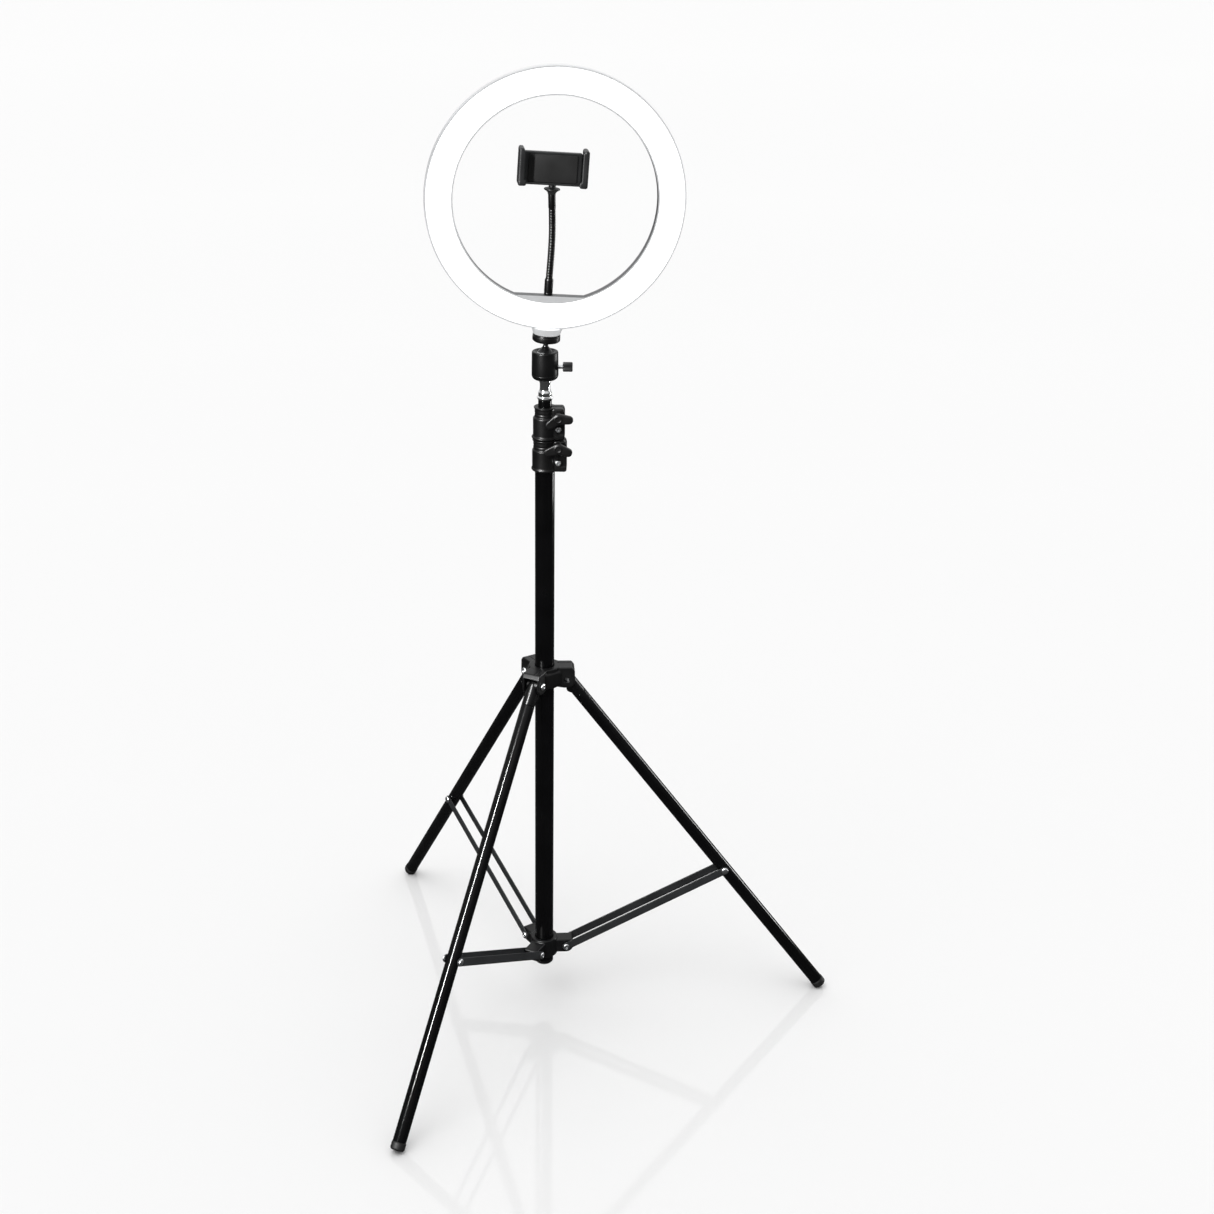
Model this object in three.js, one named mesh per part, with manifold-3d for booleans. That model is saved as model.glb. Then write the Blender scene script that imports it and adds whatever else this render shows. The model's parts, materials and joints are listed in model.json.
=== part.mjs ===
// A ring light on a folding tripod light stand, in millimetres, +Z up.
// The origin is on the floor, under the middle of the overall box; the column's axis
// stands at COLUMN. The light faces -Y.
// The stand folds by its crown, which slides up the column: each leg hinges on the
// crown, and a pair of flat braces ties each leg to the fixed lower hub.
import * as THREE from "three";
import { mergeVertices } from "three/addons/utils/BufferGeometryUtils.js";
import Module from "manifold-3d";

const wasm = await Module();
wasm.setup();

// ---------------------------------------------------------------- driving dimensions
const GAP = 0.3; // clearance between neighbouring pieces
const WALL = 1.0; // wall of every steel tube
const ROUND = 20; // facets round a tube
const SMALL_ROUND = 8; // facets round a pin or a screw
const PIERCE = 30; // half length of a tool that drills right through a piece
const PLUG_LENGTH = 12; // how far a plastic plug reaches into its tube
const COLUMN = { x: -70.45, y: 11.6 };

// legs and braces: r is measured from the column axis, z from the floor
const LEG_AZIMUTHS = { front: -115.87, right: 4.13, rear: 124.13 };
const LEG_R = 7.24;
const FOOT = { r: 323.0, z: 7.24 };
const CROWN_PIVOT = { r: 24.0, z: 409.5 };
const HUB_PIVOT = { r: 25.3, z: 69.5 };
const BRACE_PIVOT_SHARE = 0.6079; // share of the leg from its crown pivot to its brace pivot
const FITTING_LENGTH = 24; // from the crown pivot to the top of the leg tube
const TUBE_END_GAP = 4; // the foot cap's collar stands this far past the tube
const CAP_R = 7.75;
const PIN_R = 2.5;
const BORE_R = PIN_R + GAP;
const BOLT_HEAD = { r: 4, thick: 2.2 };

// braces: twin flat bars, one on each side of the leg and of the hub's arm
const BAR_HEIGHT = 9.2;
const BAR_THICK = 1.4;
const BAR_INSIDE_HUB = 8.5; // from the middle plane to a bar's inner face
const BAR_INSIDE_LEG = 7.6;

// column: three telescoping tubes
const MAIN = { r: 10.35, bottom: 50, top: 668 };
const MID = { r: 8.65, bottom: 88, top: 704 };
const TOP = { r: 7.0, bottom: 110, top: 724 };

// crown and lower hub
const CROWN = { bottom: 401.5, top: 424.5, r: 17, armWidth: 20.3, slot: 15.4, reach: 32.7 };
const CROWN_SLOT_X = 16.5; // each slot runs outwards from here, so that a folded leg clears
const HUB = { bottom: 58, top: 80, r: 15, armWidth: 16.2 };
const CROWN_PLUG_R = 6; // the crown and the hub start as thick rings and are bored last
const CROWN_CHEEK_R = 7.6; // round end of each cheek, about the leg's pivot
const CROWN_ROOF = 5.5; // thickness left above each slot
const HUB_ARM_R = 8;

// the crown's lock knob: reach is measured from the column axis along its azimuth
const CROWN_KNOB = {
  azimuth: 64.13, z: 409, shaftR: 3, tip: 10.9, bossR: 7, bossReach: 22,
  gripR: 5.4, grip: 22.4, back: 29, front: 36, wingRootR: 5, wingTipR: 3.8, wingLength: 9, lift: -14,
};

// clamp collars: the lower one on the main tube, the upper one on the mid tube
const LOWER_COLLAR = {
  bottom: 648, seat: 668.3, shoulder: 671.5, top: 682,
  rimR: 14.2, bodyR: 13.3, neckR: 12.1, boreR: MAIN.r + GAP, grip: MID.r + GAP,
  knobZ: 677, screwZ: 658.5, wingTurn: 0, lugReach: 22.8,
};
const UPPER_COLLAR = {
  bottom: 682.4, seat: 704.3, shoulder: 706.5, top: 716.9,
  rimR: 13.9, bodyR: 12.4, neckR: 10.7, boreR: MID.r + GAP, grip: TOP.r + GAP,
  knobZ: 709, screwZ: 695, wingTurn: 16, lugReach: 20.6,
};
const LUG = { x0: 6, halfY: 8.6, axisX: 14.2, slit: 1.6, cornerR: 3 };
const SCREW_R = 2; // the clamps' screws and wing knob shafts
const SCREW_HEAD = { r: 3.4, thick: 2.3 };
const WING_GRIP_R = 4.4;
const WING = { length: 11.6, drop: 21, rootR: 4.6, tipR: 3.7, back: -14.9, front: -20.6 };

// ball head
const BALL_CENTRE_Z = 770;
const BALL_R = 9.5;
const HEAD = { bottom: 746.3, top: 775.8, r: 13.8 };
const HEAD_KNOB = { z: 759.2, shaftR: 2, tip: 10.6, back: 18.2, front: 28.2, gripR: 5, grooves: 12 };
const HEAD_BORE_X = 6; // the lock knob's hole starts this far from the axis
const SOCKET_R = 9.9; // the ball's socket, and the bore under it
const SOCKET_DEPTH = 13.4; // below the ball's centre
const SOCKET_MOUTH = 28; // the socket opens this many degrees above the ball's equator
const SEAT = { bottom: 757, r: 9.6, from: -68, to: -26 };

// the light, in its own frame: origin at the ball's centre, x right, y back, z up the stem
const LIGHT_YAW = 7.27;
const LIGHT_ROLL = 3.6;
const RING_CENTRE = 160.2;
const RING_R = 130;
const HOLE_R = 102;
const SHELF = 96; // the flat shelf closes the foot of the hole this far below the centre
const FRONT_Y = -7;
const BACK_Y = 8;
const SHELL = 1.6;
const RING_ROUND = 54;
const TROUGH_FLOOR_Y = 2.4; // the trough is this deep before its back corners turn in
const SHELF_BACK_Y = 4;
const NECK = { bottom: 24.1, width: 31, front: -3, back: 12, overlap: 16, cornerR: 3 };
const STUD_R = 3.1;
const STUD_TOP = 31;
const PLATE_BOTTOM = 15.9; // underside of the round plate that the light stands on
const PLATE_R = 14.2;
const BOARD_FACES = { front: 0.4, back: 1.6, inset: 2 };

// gooseneck and phone holder, in the ring's frame: origin at the ring's centre
const SLEEVE = { r: 4.35, length: 17, x: -1.2, y: -1.5, screwR: 2, screwLength: 6 };
const NECK_R = 3.5;
const NECK_MIDDLE = { x: -1.3, y: -2.4, z: -37 };
const NECK_TOP = { x: -4.6, y: -5, z: 6.6 };
const HOLDER_Z = 34;
const KNUCKLE_R = 5.2;
const PLATE = { halfX: 28.6, halfZ: 15.6, thick: 7, back: -9.8 };
const PLATE_SHIFT = -2.4; // the flat back and its jaws stand this far along from the ball
const JAW = {
  bottom: -16.2, top: 20.2, inner: 28.9, outer: 34.1, lip: 1, lipThick: 2.4, reach: 12, cornerR: 2.5,
};
const CHANNEL = { left: -24, halfZ: 11, skin: 1.6 }; // the tongue's channel in the plate
const TONGUE_LEFT = -8;
const PEG = { r: 2, length: 1, bossR: 4.6, bossLength: 3 };
const PAD = { halfX: 24, halfZ: 13, thick: 1 };
const SPRING = { turns: 3, wireR: 0.5, coilR: 1.1, from: -23, to: -9.4, stepsPerTurn: 8 };

// ---------------------------------------------------------------- materials
const finish = (color, roughness, metalness) =>
  new THREE.MeshStandardMaterial({ color, roughness, metalness });
const BLACK_TUBE = () => finish(0x0c0c0d, 0.35, 0.3);
const BLACK_BAR = () => finish(0x2a2b2d, 0.5, 0.3);
const BLACK_PLASTIC = () => finish(0x131315, 0.45, 0);
const RUBBER = () => finish(0x1a1a1b, 0.85, 0);
const STEEL = () => finish(0xb9bcc0, 0.3, 1);
const CHROME = () => finish(0xdadde0, 0.1, 1);
const WHITE_SHELL = () => finish(0xe4e7e9, 0.45, 0);
const DIFFUSER = () => finish(0xffffff, 0.6, 0);
const BOARD = () => finish(0xf2f2ee, 0.6, 0);

// ---------------------------------------------------------------- solids
const radians = THREE.MathUtils.degToRad;

// A closed three.js geometry as a manifold-3d solid, faces turned outwards.
function solid(geometry) {
  const bare = geometry.index ? geometry.toNonIndexed() : geometry.clone();
  bare.deleteAttribute("normal");
  bare.deleteAttribute("uv");
  const merged = mergeVertices(bare, 1e-4);
  const index = merged.index.array;
  const kept = [];
  for (let i = 0; i < index.length; i += 3) {
    const [a, b, c] = [index[i], index[i + 1], index[i + 2]];
    if (a !== b && b !== c && a !== c) kept.push(a, b, c);
  }
  const build = (triVerts) =>
    new wasm.Manifold(
      new wasm.Mesh({
        numProp: 3,
        vertProperties: merged.attributes.position.array,
        triVerts: new Uint32Array(triVerts),
      }),
    );
  const made = build(kept);
  return made.volume() < 0 ? build(kept.reverse()) : made;
}

function geometryOf(body) {
  const { vertProperties, triVerts } = body.getMesh();
  const geometry = new THREE.BufferGeometry();
  geometry.setAttribute("position", new THREE.BufferAttribute(vertProperties, 3));
  geometry.setIndex(new THREE.BufferAttribute(triVerts, 1));
  geometry.computeVertexNormals();
  return geometry;
}

function piece(name, body, material, parent) {
  const mesh = new THREE.Mesh(geometryOf(body), material);
  mesh.name = name;
  parent.add(mesh);
  return mesh;
}

const join = (bodies) => bodies.reduce((whole, body) => whole.add(body));
const cut = (body, tools) => tools.reduce((left, tool) => left.subtract(tool), body);

// Turns a profile of [radius, z] points about the z axis.
function turned(profile, facets = ROUND) {
  const points = profile.map(([r, z]) => new THREE.Vector2(r, z));
  return solid(new THREE.LatheGeometry(points, facets).rotateX(Math.PI / 2));
}

function turnedRing(inner, outer, bottom, top, facets = ROUND) {
  const loop = [[inner, bottom], [outer, bottom], [outer, top], [inner, top], [inner, bottom]];
  return turned(loop, facets);
}

function rod(from, to, radius, facets = SMALL_ROUND) {
  const start = new THREE.Vector3(...from);
  const along = new THREE.Vector3(...to).sub(start);
  const geometry = new THREE.CylinderGeometry(radius, radius, along.length(), facets);
  const turn = new THREE.Quaternion().setFromUnitVectors(
    new THREE.Vector3(0, 1, 0),
    along.clone().normalize(),
  );
  geometry.applyQuaternion(turn);
  geometry.translate(...start.addScaledVector(along, 0.5).toArray());
  return solid(geometry);
}

// An upright cylinder on the column's axis.
const post = (radius, bottom, top, facets = ROUND) =>
  rod([0, 0, bottom], [0, 0, top], radius, facets);

function block(x0, x1, y0, y1, z0, z1) {
  const geometry = new THREE.BoxGeometry(x1 - x0, y1 - y0, z1 - z0);
  geometry.translate((x0 + x1) / 2, (y0 + y1) / 2, (z0 + z1) / 2);
  return solid(geometry);
}

// A shape drawn in x and z, extruded from y0 to y1.
function slab(shape, y0, y1, curveSegments = 3) {
  const geometry = new THREE.ExtrudeGeometry(shape, {
    depth: y1 - y0,
    bevelEnabled: false,
    curveSegments,
  });
  geometry.rotateX(Math.PI / 2);
  geometry.translate(0, y1, 0);
  return solid(geometry);
}

// A bar that tapers from radius r0 at the origin to radius r1 at x = length.
function taperedBar(r0, r1, length) {
  const shape = new THREE.Shape();
  shape.moveTo(0, -r0);
  shape.lineTo(length, -r1);
  shape.absarc(length, 0, r1, -Math.PI / 2, Math.PI / 2, false);
  shape.lineTo(0, r0);
  shape.absarc(0, 0, r0, Math.PI / 2, (3 * Math.PI) / 2, false);
  return shape;
}

function roundedRect(x0, x1, z0, z1, radius) {
  const shape = new THREE.Shape();
  shape.moveTo(x0 + radius, z0);
  shape.lineTo(x1 - radius, z0);
  shape.absarc(x1 - radius, z0 + radius, radius, -Math.PI / 2, 0, false);
  shape.lineTo(x1, z1 - radius);
  shape.absarc(x1 - radius, z1 - radius, radius, 0, Math.PI / 2, false);
  shape.lineTo(x0 + radius, z1);
  shape.absarc(x0 + radius, z1 - radius, radius, Math.PI / 2, Math.PI, false);
  shape.lineTo(x0, z0 + radius);
  shape.absarc(x0 + radius, z0 + radius, radius, Math.PI, (3 * Math.PI) / 2, false);
  return shape;
}

function turnAbout(body, axis, degrees) {
  const matrix = new THREE.Matrix4();
  matrix.makeRotationAxis(new THREE.Vector3(...axis), radians(degrees));
  return body.transform(matrix.elements);
}

const aroundColumn = (body, azimuth) => turnAbout(body, [0, 0, 1], azimuth);

// Arc points [r, z] on a circle about (0, centreZ), from one elevation to another.
function arc(centreZ, radius, from, to, steps) {
  return Array.from({ length: steps + 1 }, (_, i) => {
    const angle = radians(from + ((to - from) * i) / steps);
    return [radius * Math.cos(angle), centreZ + radius * Math.sin(angle)];
  });
}

// ---------------------------------------------------------------- scene graph
const ringLight = new THREE.Group();
const stand = new THREE.Group();
stand.position.set(COLUMN.x, COLUMN.y, 0);
ringLight.add(stand);
const legSpan = Math.hypot(FOOT.r - CROWN_PIVOT.r, CROWN_PIVOT.z - FOOT.z);
const legTilt = Math.atan2(FOOT.r - CROWN_PIVOT.r, CROWN_PIVOT.z - FOOT.z);
const bracePivot = {
  r: CROWN_PIVOT.r + BRACE_PIVOT_SHARE * legSpan * Math.sin(legTilt),
  z: CROWN_PIVOT.z - BRACE_PIVOT_SHARE * legSpan * Math.cos(legTilt),
};
const braceSpan = Math.hypot(bracePivot.r - HUB_PIVOT.r, bracePivot.z - HUB_PIVOT.z);
const braceRise = Math.atan2(bracePivot.z - HUB_PIVOT.z, bracePivot.r - HUB_PIVOT.r);

// A bolt along y with a domed head on each end.
function headedPin(halfLength) {
  const dome = (side) => {
    const face = side * halfLength;
    const tip = side * (halfLength + BOLT_HEAD.thick);
    const shoulder = side * (halfLength + BOLT_HEAD.thick * 0.55);
    const head = turned(
      [[0, face], [BOLT_HEAD.r, face], [BOLT_HEAD.r, shoulder], [BOLT_HEAD.r * 0.6, tip], [0, tip]],
      SMALL_ROUND,
    );
    return turnAbout(head, [1, 0, 0], -90);
  };
  return join([rod([0, -halfLength, 0], [0, halfLength, 0], PIN_R), dome(1), dome(-1)]);
}

// ---------------------------------------------------------------- column
function tube({ r, bottom, top }) {
  return turnedRing(r - WALL, r, bottom, top);
}

// A plastic bush pressed in the foot of a sliding tube, running in the tube around it.
function slidingBush(tubeR, outerTubeR, bottom) {
  const flange = outerTubeR - WALL - GAP;
  const plug = tubeR - WALL - GAP;
  const bore = plug - 1.5;
  const foot = bottom - 9;
  const top = bottom + PLUG_LENGTH;
  return turned([
    [bore, foot], [flange, foot], [flange, bottom - GAP], [plug, bottom - GAP], [plug, top],
    [bore, top], [bore, foot],
  ]);
}

function clampCollar(size) {
  const rimTop = size.bottom + 3.6;
  const collar = turned([
    [size.boreR, size.bottom], [size.rimR - 1.4, size.bottom],
    [size.rimR, size.bottom + 1.6], [size.rimR, size.bottom + 2.6],
    [size.bodyR, rimTop], [size.bodyR, size.shoulder - 1],
    [size.bodyR - 1, size.shoulder], [size.neckR, size.shoulder],
    [size.neckR, size.top - 1.6], [size.neckR + 0.9, size.top - 1], [size.neckR + 0.9, size.top],
    [size.grip, size.top], [size.grip, size.seat], [size.boreR, size.seat],
    [size.boreR, size.bottom],
  ]);
  const lugShape = roundedRect(LUG.x0, size.lugReach, size.bottom + 0.4, size.top - 0.2, LUG.cornerR);
  const lug = slab(lugShape, -LUG.halfY, LUG.halfY, 2);
  const bore = (z) => rod([LUG.axisX, -PIERCE, z], [LUG.axisX, PIERCE, z], SCREW_R + GAP);
  return cut(join([collar, lug]), [
    post(size.boreR, size.bottom - 1, size.seat),
    post(size.grip, size.bottom - 1, size.top + 1),
    block(size.grip - 2, size.lugReach + 1, -LUG.slit / 2, LUG.slit / 2, size.bottom - 1, size.top + 1),
    bore(size.knobZ),
    bore(size.screwZ),
  ]);
}

// A winged knob on its threaded shaft, along y, with its wings drooping either side.
function wingKnob(turn) {
  const wing = (side) => {
    const arm = slab(taperedBar(WING.rootR, WING.tipR, WING.length), WING.front, WING.back, 3);
    const angle = side > 0 ? WING.drop : 180 - WING.drop;
    return turnAbout(arm, [0, 1, 0], angle - turn);
  };
  return join([
    wing(1),
    wing(-1),
    rod([0, -LUG.halfY - GAP, 0], [0, WING.back + 1, 0], WING_GRIP_R),
    rod([0, WING.back, 0], [0, LUG.halfY - 1, 0], SCREW_R),
  ]);
}

function clampScrew() {
  const seat = -LUG.halfY - GAP;
  const head = rod([0, seat - SCREW_HEAD.thick, 0], [0, seat, 0], SCREW_HEAD.r, 6);
  const shaft = rod([0, seat - 1, 0], [0, LUG.halfY - 1, 0], SCREW_R);
  return join([head, shaft]);
}

function addColumn() {
  piece("main_tube", tube(MAIN), BLACK_TUBE(), stand);
  piece("mid_tube", tube(MID), BLACK_TUBE(), stand);
  piece("top_tube", tube(TOP), BLACK_TUBE(), stand);
  piece("mid_tube_bush", slidingBush(MID.r, MAIN.r, MID.bottom), BLACK_PLASTIC(), stand);
  piece("top_tube_bush", slidingBush(TOP.r, MID.r, TOP.bottom), BLACK_PLASTIC(), stand);
  const plugR = MAIN.r - WALL - GAP;
  const capTop = MAIN.bottom - GAP;
  const cap = turned([
    [0, capTop - 4], [MAIN.r - 1.2, capTop - 4], [MAIN.r, capTop - 2.6], [MAIN.r, capTop],
    [plugR, capTop], [plugR, capTop + PLUG_LENGTH], [0, capTop + PLUG_LENGTH],
  ]);
  piece("column_end_cap", cap, BLACK_PLASTIC(), stand);
  const clamps = { lower: LOWER_COLLAR, upper: UPPER_COLLAR };
  for (const [level, size] of Object.entries(clamps)) {
    piece(`${level}_clamp_collar`, clampCollar(size), BLACK_PLASTIC(), stand);
    const knob = piece(`${level}_wing_knob`, wingKnob(size.wingTurn), BLACK_PLASTIC(), stand);
    knob.position.set(LUG.axisX, 0, size.knobZ);
    const screw = piece(`${level}_clamp_screw`, clampScrew(), STEEL(), stand);
    screw.position.set(LUG.axisX, 0, size.screwZ);
  }
}

// ---------------------------------------------------------------- crown and lower hub
// One clevis arm of the crown, in x and z, before its slot is cut.
function crownArmShape() {
  const { r, z } = CROWN_PIVOT;
  const shape = new THREE.Shape();
  shape.moveTo(0, CROWN.top);
  shape.lineTo(0, CROWN.bottom);
  shape.lineTo(14, CROWN.bottom);
  shape.lineTo(r - 2, z - CROWN_CHEEK_R);
  shape.absarc(r, z, CROWN_CHEEK_R, -Math.PI / 2, 0, false);
  shape.lineTo(CROWN.reach, z + 6);
  shape.lineTo(CROWN.reach, CROWN.top - 5);
  shape.lineTo(CROWN.reach - 2, CROWN.top - 2);
  return shape;
}

function crown() {
  const sleeve = turnedRing(CROWN_PLUG_R, CROWN.r, CROWN.bottom, CROWN.top, 26);
  const arms = [];
  const cuts = [post(MAIN.r + GAP, CROWN.bottom - 1, CROWN.top + 1)];
  const half = CROWN.slot / 2;
  for (const azimuth of Object.values(LEG_AZIMUTHS)) {
    const arm = slab(crownArmShape(), -CROWN.armWidth / 2, CROWN.armWidth / 2);
    const slot = block(CROWN_SLOT_X, 60, -half, half, CROWN.bottom - 5, CROWN.top - CROWN_ROOF);
    const pivotBore = rod(
      [CROWN_PIVOT.r, -PIERCE, CROWN_PIVOT.z],
      [CROWN_PIVOT.r, PIERCE, CROWN_PIVOT.z],
      BORE_R,
    );
    arms.push(aroundColumn(arm, azimuth));
    cuts.push(aroundColumn(slot, azimuth), aroundColumn(pivotBore, azimuth));
  }
  const { azimuth, z, shaftR, bossR, bossReach } = CROWN_KNOB;
  const boss = rod([CROWN_PLUG_R + 2, 0, z], [bossReach, 0, z], bossR, 18);
  const thread = rod([CROWN_PLUG_R - 1, 0, z], [PIERCE, 0, z], shaftR + GAP);
  cuts.push(aroundColumn(thread, azimuth));
  return cut(join([sleeve, ...arms, aroundColumn(boss, azimuth)]), cuts);
}

function crownKnob() {
  const { shaftR, tip, gripR, grip, back, front, wingRootR, wingTipR, wingLength, lift } = CROWN_KNOB;
  const shaft = rod([tip, 0, 0], [back + 1, 0, 0], shaftR);
  const collar = rod([grip, 0, 0], [back + 2, 0, 0], gripR);
  const wing = (angle) => {
    const bar = slab(taperedBar(wingRootR, wingTipR, wingLength), back, front);
    return turnAbout(turnAbout(bar, [0, 1, 0], angle), [0, 0, 1], -90);
  };
  return join([shaft, collar, wing(lift), wing(180 - lift)]);
}

function lowerHub() {
  const sleeve = turnedRing(CROWN_PLUG_R, HUB.r, HUB.bottom, HUB.top, 24);
  const armShape = taperedBar(HUB_ARM_R, HUB_ARM_R, HUB_PIVOT.r);
  const cuts = [post(MAIN.r + GAP, HUB.bottom - 1, HUB.top + 1)];
  const arms = Object.values(LEG_AZIMUTHS).map((azimuth) => {
    const arm = slab(armShape, -HUB.armWidth / 2, HUB.armWidth / 2).translate(0, 0, HUB_PIVOT.z);
    const { r, z } = HUB_PIVOT;
    cuts.push(aroundColumn(rod([r, -PIERCE, z], [r, PIERCE, z], BORE_R), azimuth));
    return aroundColumn(arm, azimuth);
  });
  return cut(join([sleeve, ...arms]), cuts);
}

function addCrownAndHub() {
  piece("crown", crown(), BLACK_PLASTIC(), stand);
  piece("lower_hub", lowerHub(), BLACK_PLASTIC(), stand);
  const knob = piece("crown_lock_knob", crownKnob(), BLACK_PLASTIC(), stand);
  knob.position.z = CROWN_KNOB.z;
  knob.rotation.z = radians(CROWN_KNOB.azimuth);
}

// ---------------------------------------------------------------- legs and braces
// The moulded eye that the crown's pin goes through, with its plug in the leg tube.
function legFitting() {
  const eyeWidth = CROWN.slot - 2 * GAP;
  const eyeR = 6.6;
  const plugR = LEG_R - WALL - GAP;
  const foot = -FITTING_LENGTH - PLUG_LENGTH;
  const tubeTop = -FITTING_LENGTH + GAP;
  const eye = rod([0, -eyeWidth / 2, 0], [0, eyeWidth / 2, 0], eyeR, 14);
  const shank = turned([
    [0, foot], [plugR, foot], [plugR, tubeTop], [LEG_R, tubeTop], [LEG_R, -4], [0, -4],
  ]);
  const bore = rod([0, -PIERCE, 0], [0, PIERCE, 0], BORE_R);
  return cut(join([eye, shank]), [bore]);
}

function footCap() {
  const tubeEnd = -legSpan + TUBE_END_GAP;
  const plugR = LEG_R - WALL - GAP;
  const collarTop = tubeEnd - GAP;
  const plugTop = collarTop + PLUG_LENGTH;
  const dome = arc(-legSpan, CAP_R, -90, 0, 4);
  dome[0][0] = 0;
  return turned([
    ...dome, [CAP_R, collarTop], [plugR, collarTop], [plugR, plugTop], [0, plugTop],
  ]);
}

// Cuts a leg-frame solid off at the floor, to leave a flat facet under the foot.
function cutAtFloor(body, frame) {
  const intoWorld = frame.matrixWorld.elements;
  const intoFrame = frame.matrixWorld.clone().invert().elements;
  const belowFloor = block(-600, 600, -600, 600, -60, 0);
  return body.transform(intoWorld).subtract(belowFloor).transform(intoFrame);
}

function braceBar(side) {
  const bar = slab(taperedBar(BAR_HEIGHT / 2, BAR_HEIGHT / 2, braceSpan), 0, BAR_THICK);
  const holes = [0, braceSpan].map((x) => rod([x, -PIERCE, 0], [x, PIERCE, 0], BORE_R));
  const splay = new THREE.Matrix4().set(
    1, 0, 0, 0,
    (BAR_INSIDE_LEG - BAR_INSIDE_HUB) / braceSpan, 1, 0, BAR_INSIDE_HUB,
    0, 0, 1, 0,
    0, 0, 0, 1,
  );
  const made = cut(bar, holes).transform(splay.elements);
  return side > 0 ? made : made.mirror([0, 1, 0]);
}

// A rivet's domed head outside the bar and its shank inside the bar's hole.
function braceRivet(side) {
  const { r, thick } = BOLT_HEAD;
  const inner = BAR_INSIDE_LEG + 0.1;
  const face = BAR_INSIDE_LEG + BAR_THICK + GAP;
  const shoulder = face + thick * 0.4;
  const tip = face + thick - 0.2;
  const rivet = turned(
    [[0, inner], [PIN_R, inner], [PIN_R, face], [r, face], [r, shoulder], [r * 0.6, tip], [0, tip]],
    SMALL_ROUND,
  );
  return turnAbout(rivet, [1, 0, 0], side > 0 ? -90 : 90);
}

function addLeg(name, azimuth) {
  const plane = new THREE.Group();
  plane.rotation.z = radians(azimuth);
  stand.add(plane);

  const leg = new THREE.Group();
  leg.position.set(CROWN_PIVOT.r, 0, CROWN_PIVOT.z);
  leg.rotation.y = -legTilt;
  plane.add(leg);
  leg.updateWorldMatrix(true, false);
  const bottom = -legSpan + TUBE_END_GAP;
  const legTube = turnedRing(LEG_R - WALL, LEG_R, bottom, -FITTING_LENGTH);
  piece(`leg_tube_${name}`, legTube, BLACK_TUBE(), leg);
  piece(`leg_top_fitting_${name}`, legFitting(), BLACK_PLASTIC(), leg);
  piece(`foot_cap_${name}`, cutAtFloor(footCap(), leg), RUBBER(), leg);

  const crownPin = headedPin(CROWN.armWidth / 2 + GAP);
  const crownBolt = piece(`crown_pivot_bolt_${name}`, crownPin, STEEL(), plane);
  crownBolt.position.set(CROWN_PIVOT.r, 0, CROWN_PIVOT.z);

  const hubPin = headedPin(BAR_INSIDE_HUB + BAR_THICK + GAP);
  const hubBolt = piece(`hub_pivot_bolt_${name}`, hubPin, STEEL(), plane);
  hubBolt.position.set(HUB_PIVOT.r, 0, HUB_PIVOT.z);

  const brace = new THREE.Group();
  brace.position.set(HUB_PIVOT.r, 0, HUB_PIVOT.z);
  brace.rotation.y = -braceRise;
  plane.add(brace);
  const sides = { a: 1, b: -1 };
  for (const [label, side] of Object.entries(sides)) {
    piece(`brace_bar_${name}_${label}`, braceBar(side), BLACK_BAR(), brace);
    const rivet = piece(`brace_rivet_${name}_${label}`, braceRivet(side), STEEL(), brace);
    rivet.position.x = braceSpan;
  }
}

// ---------------------------------------------------------------- spigot and ball head
// A plug in the top tube, a flange and a bulge on it, a waist, a head and a threaded stud.
function spigot() {
  const plugR = TOP.r - WALL - GAP;
  const base = TOP.top + GAP;
  const flange = [[7.2, 0], [8.4, 2.2], [8.2, 3], [6.6, 4]];
  const bulge = [[6.9, 5.6], [6.9, 7.9], [5.7, 9.6], [5.1, 10.6]];
  const head = [[5.1, 18.6], [5.9, 19.4], [5.9, 21.4], [STUD_R, 21.4], [STUD_R, 30], [0, 30]];
  const outside = [...flange, ...bulge, ...head].map(([r, z]) => [r, base + z]);
  return turned([[0, base - 26], [plugR, base - 26], [plugR, base], ...outside]);
}

function headBody() {
  const cavity = arc(BALL_CENTRE_Z, SOCKET_R, 0, SOCKET_MOUTH, 2);
  const floor = BALL_CENTRE_Z - SOCKET_DEPTH;
  const shell = turned([
    [0, HEAD.bottom], [HEAD.r - 3, HEAD.bottom], [HEAD.r - 0.9, HEAD.bottom + 1.6],
    [HEAD.r, HEAD.bottom + 4.2], [HEAD.r - 0.4, HEAD.top - 0.8], [HEAD.r - 1.3, HEAD.top],
    [10.9, HEAD.top], ...cavity.reverse(), [SOCKET_R, floor], [0, floor],
  ], 24);
  const studHole = rod([0, 0, HEAD.bottom - 1], [0, 0, HEAD.bottom + 8.6], STUD_R + GAP);
  const { z, back, shaftR } = HEAD_KNOB;
  const knobHole = rod([HEAD_BORE_X, 0, z], [back, 0, z], shaftR + GAP);
  return cut(shell, [studHole, knobHole]);
}

// The nylon cup that the lock knob squeezes up against the ball.
function ballSeat() {
  const cup = arc(BALL_CENTRE_Z, BALL_R + GAP, SEAT.from, SEAT.to, 3);
  const bore = cup[0][0];
  const rim = cup[3][1];
  return turned([
    [bore, SEAT.bottom], [SEAT.r, SEAT.bottom], [SEAT.r, rim], ...cup.reverse(), [bore, SEAT.bottom],
  ], 18);
}

function headKnob() {
  const { shaftR, tip, back, front, gripR, grooves } = HEAD_KNOB;
  const shaft = rod([tip, 0, 0], [back + 2, 0, 0], shaftR);
  const grip = rod([back, 0, 0], [front, 0, 0], gripR, 20);
  const cutter = block(back - 1, front - 1, gripR - 0.45, gripR + 1, -0.35, 0.35);
  const groove = (_, i) => turnAbout(cutter, [1, 0, 0], (i * 360) / grooves);
  return cut(join([shaft, grip]), Array.from({ length: grooves }, groove));
}

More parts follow.
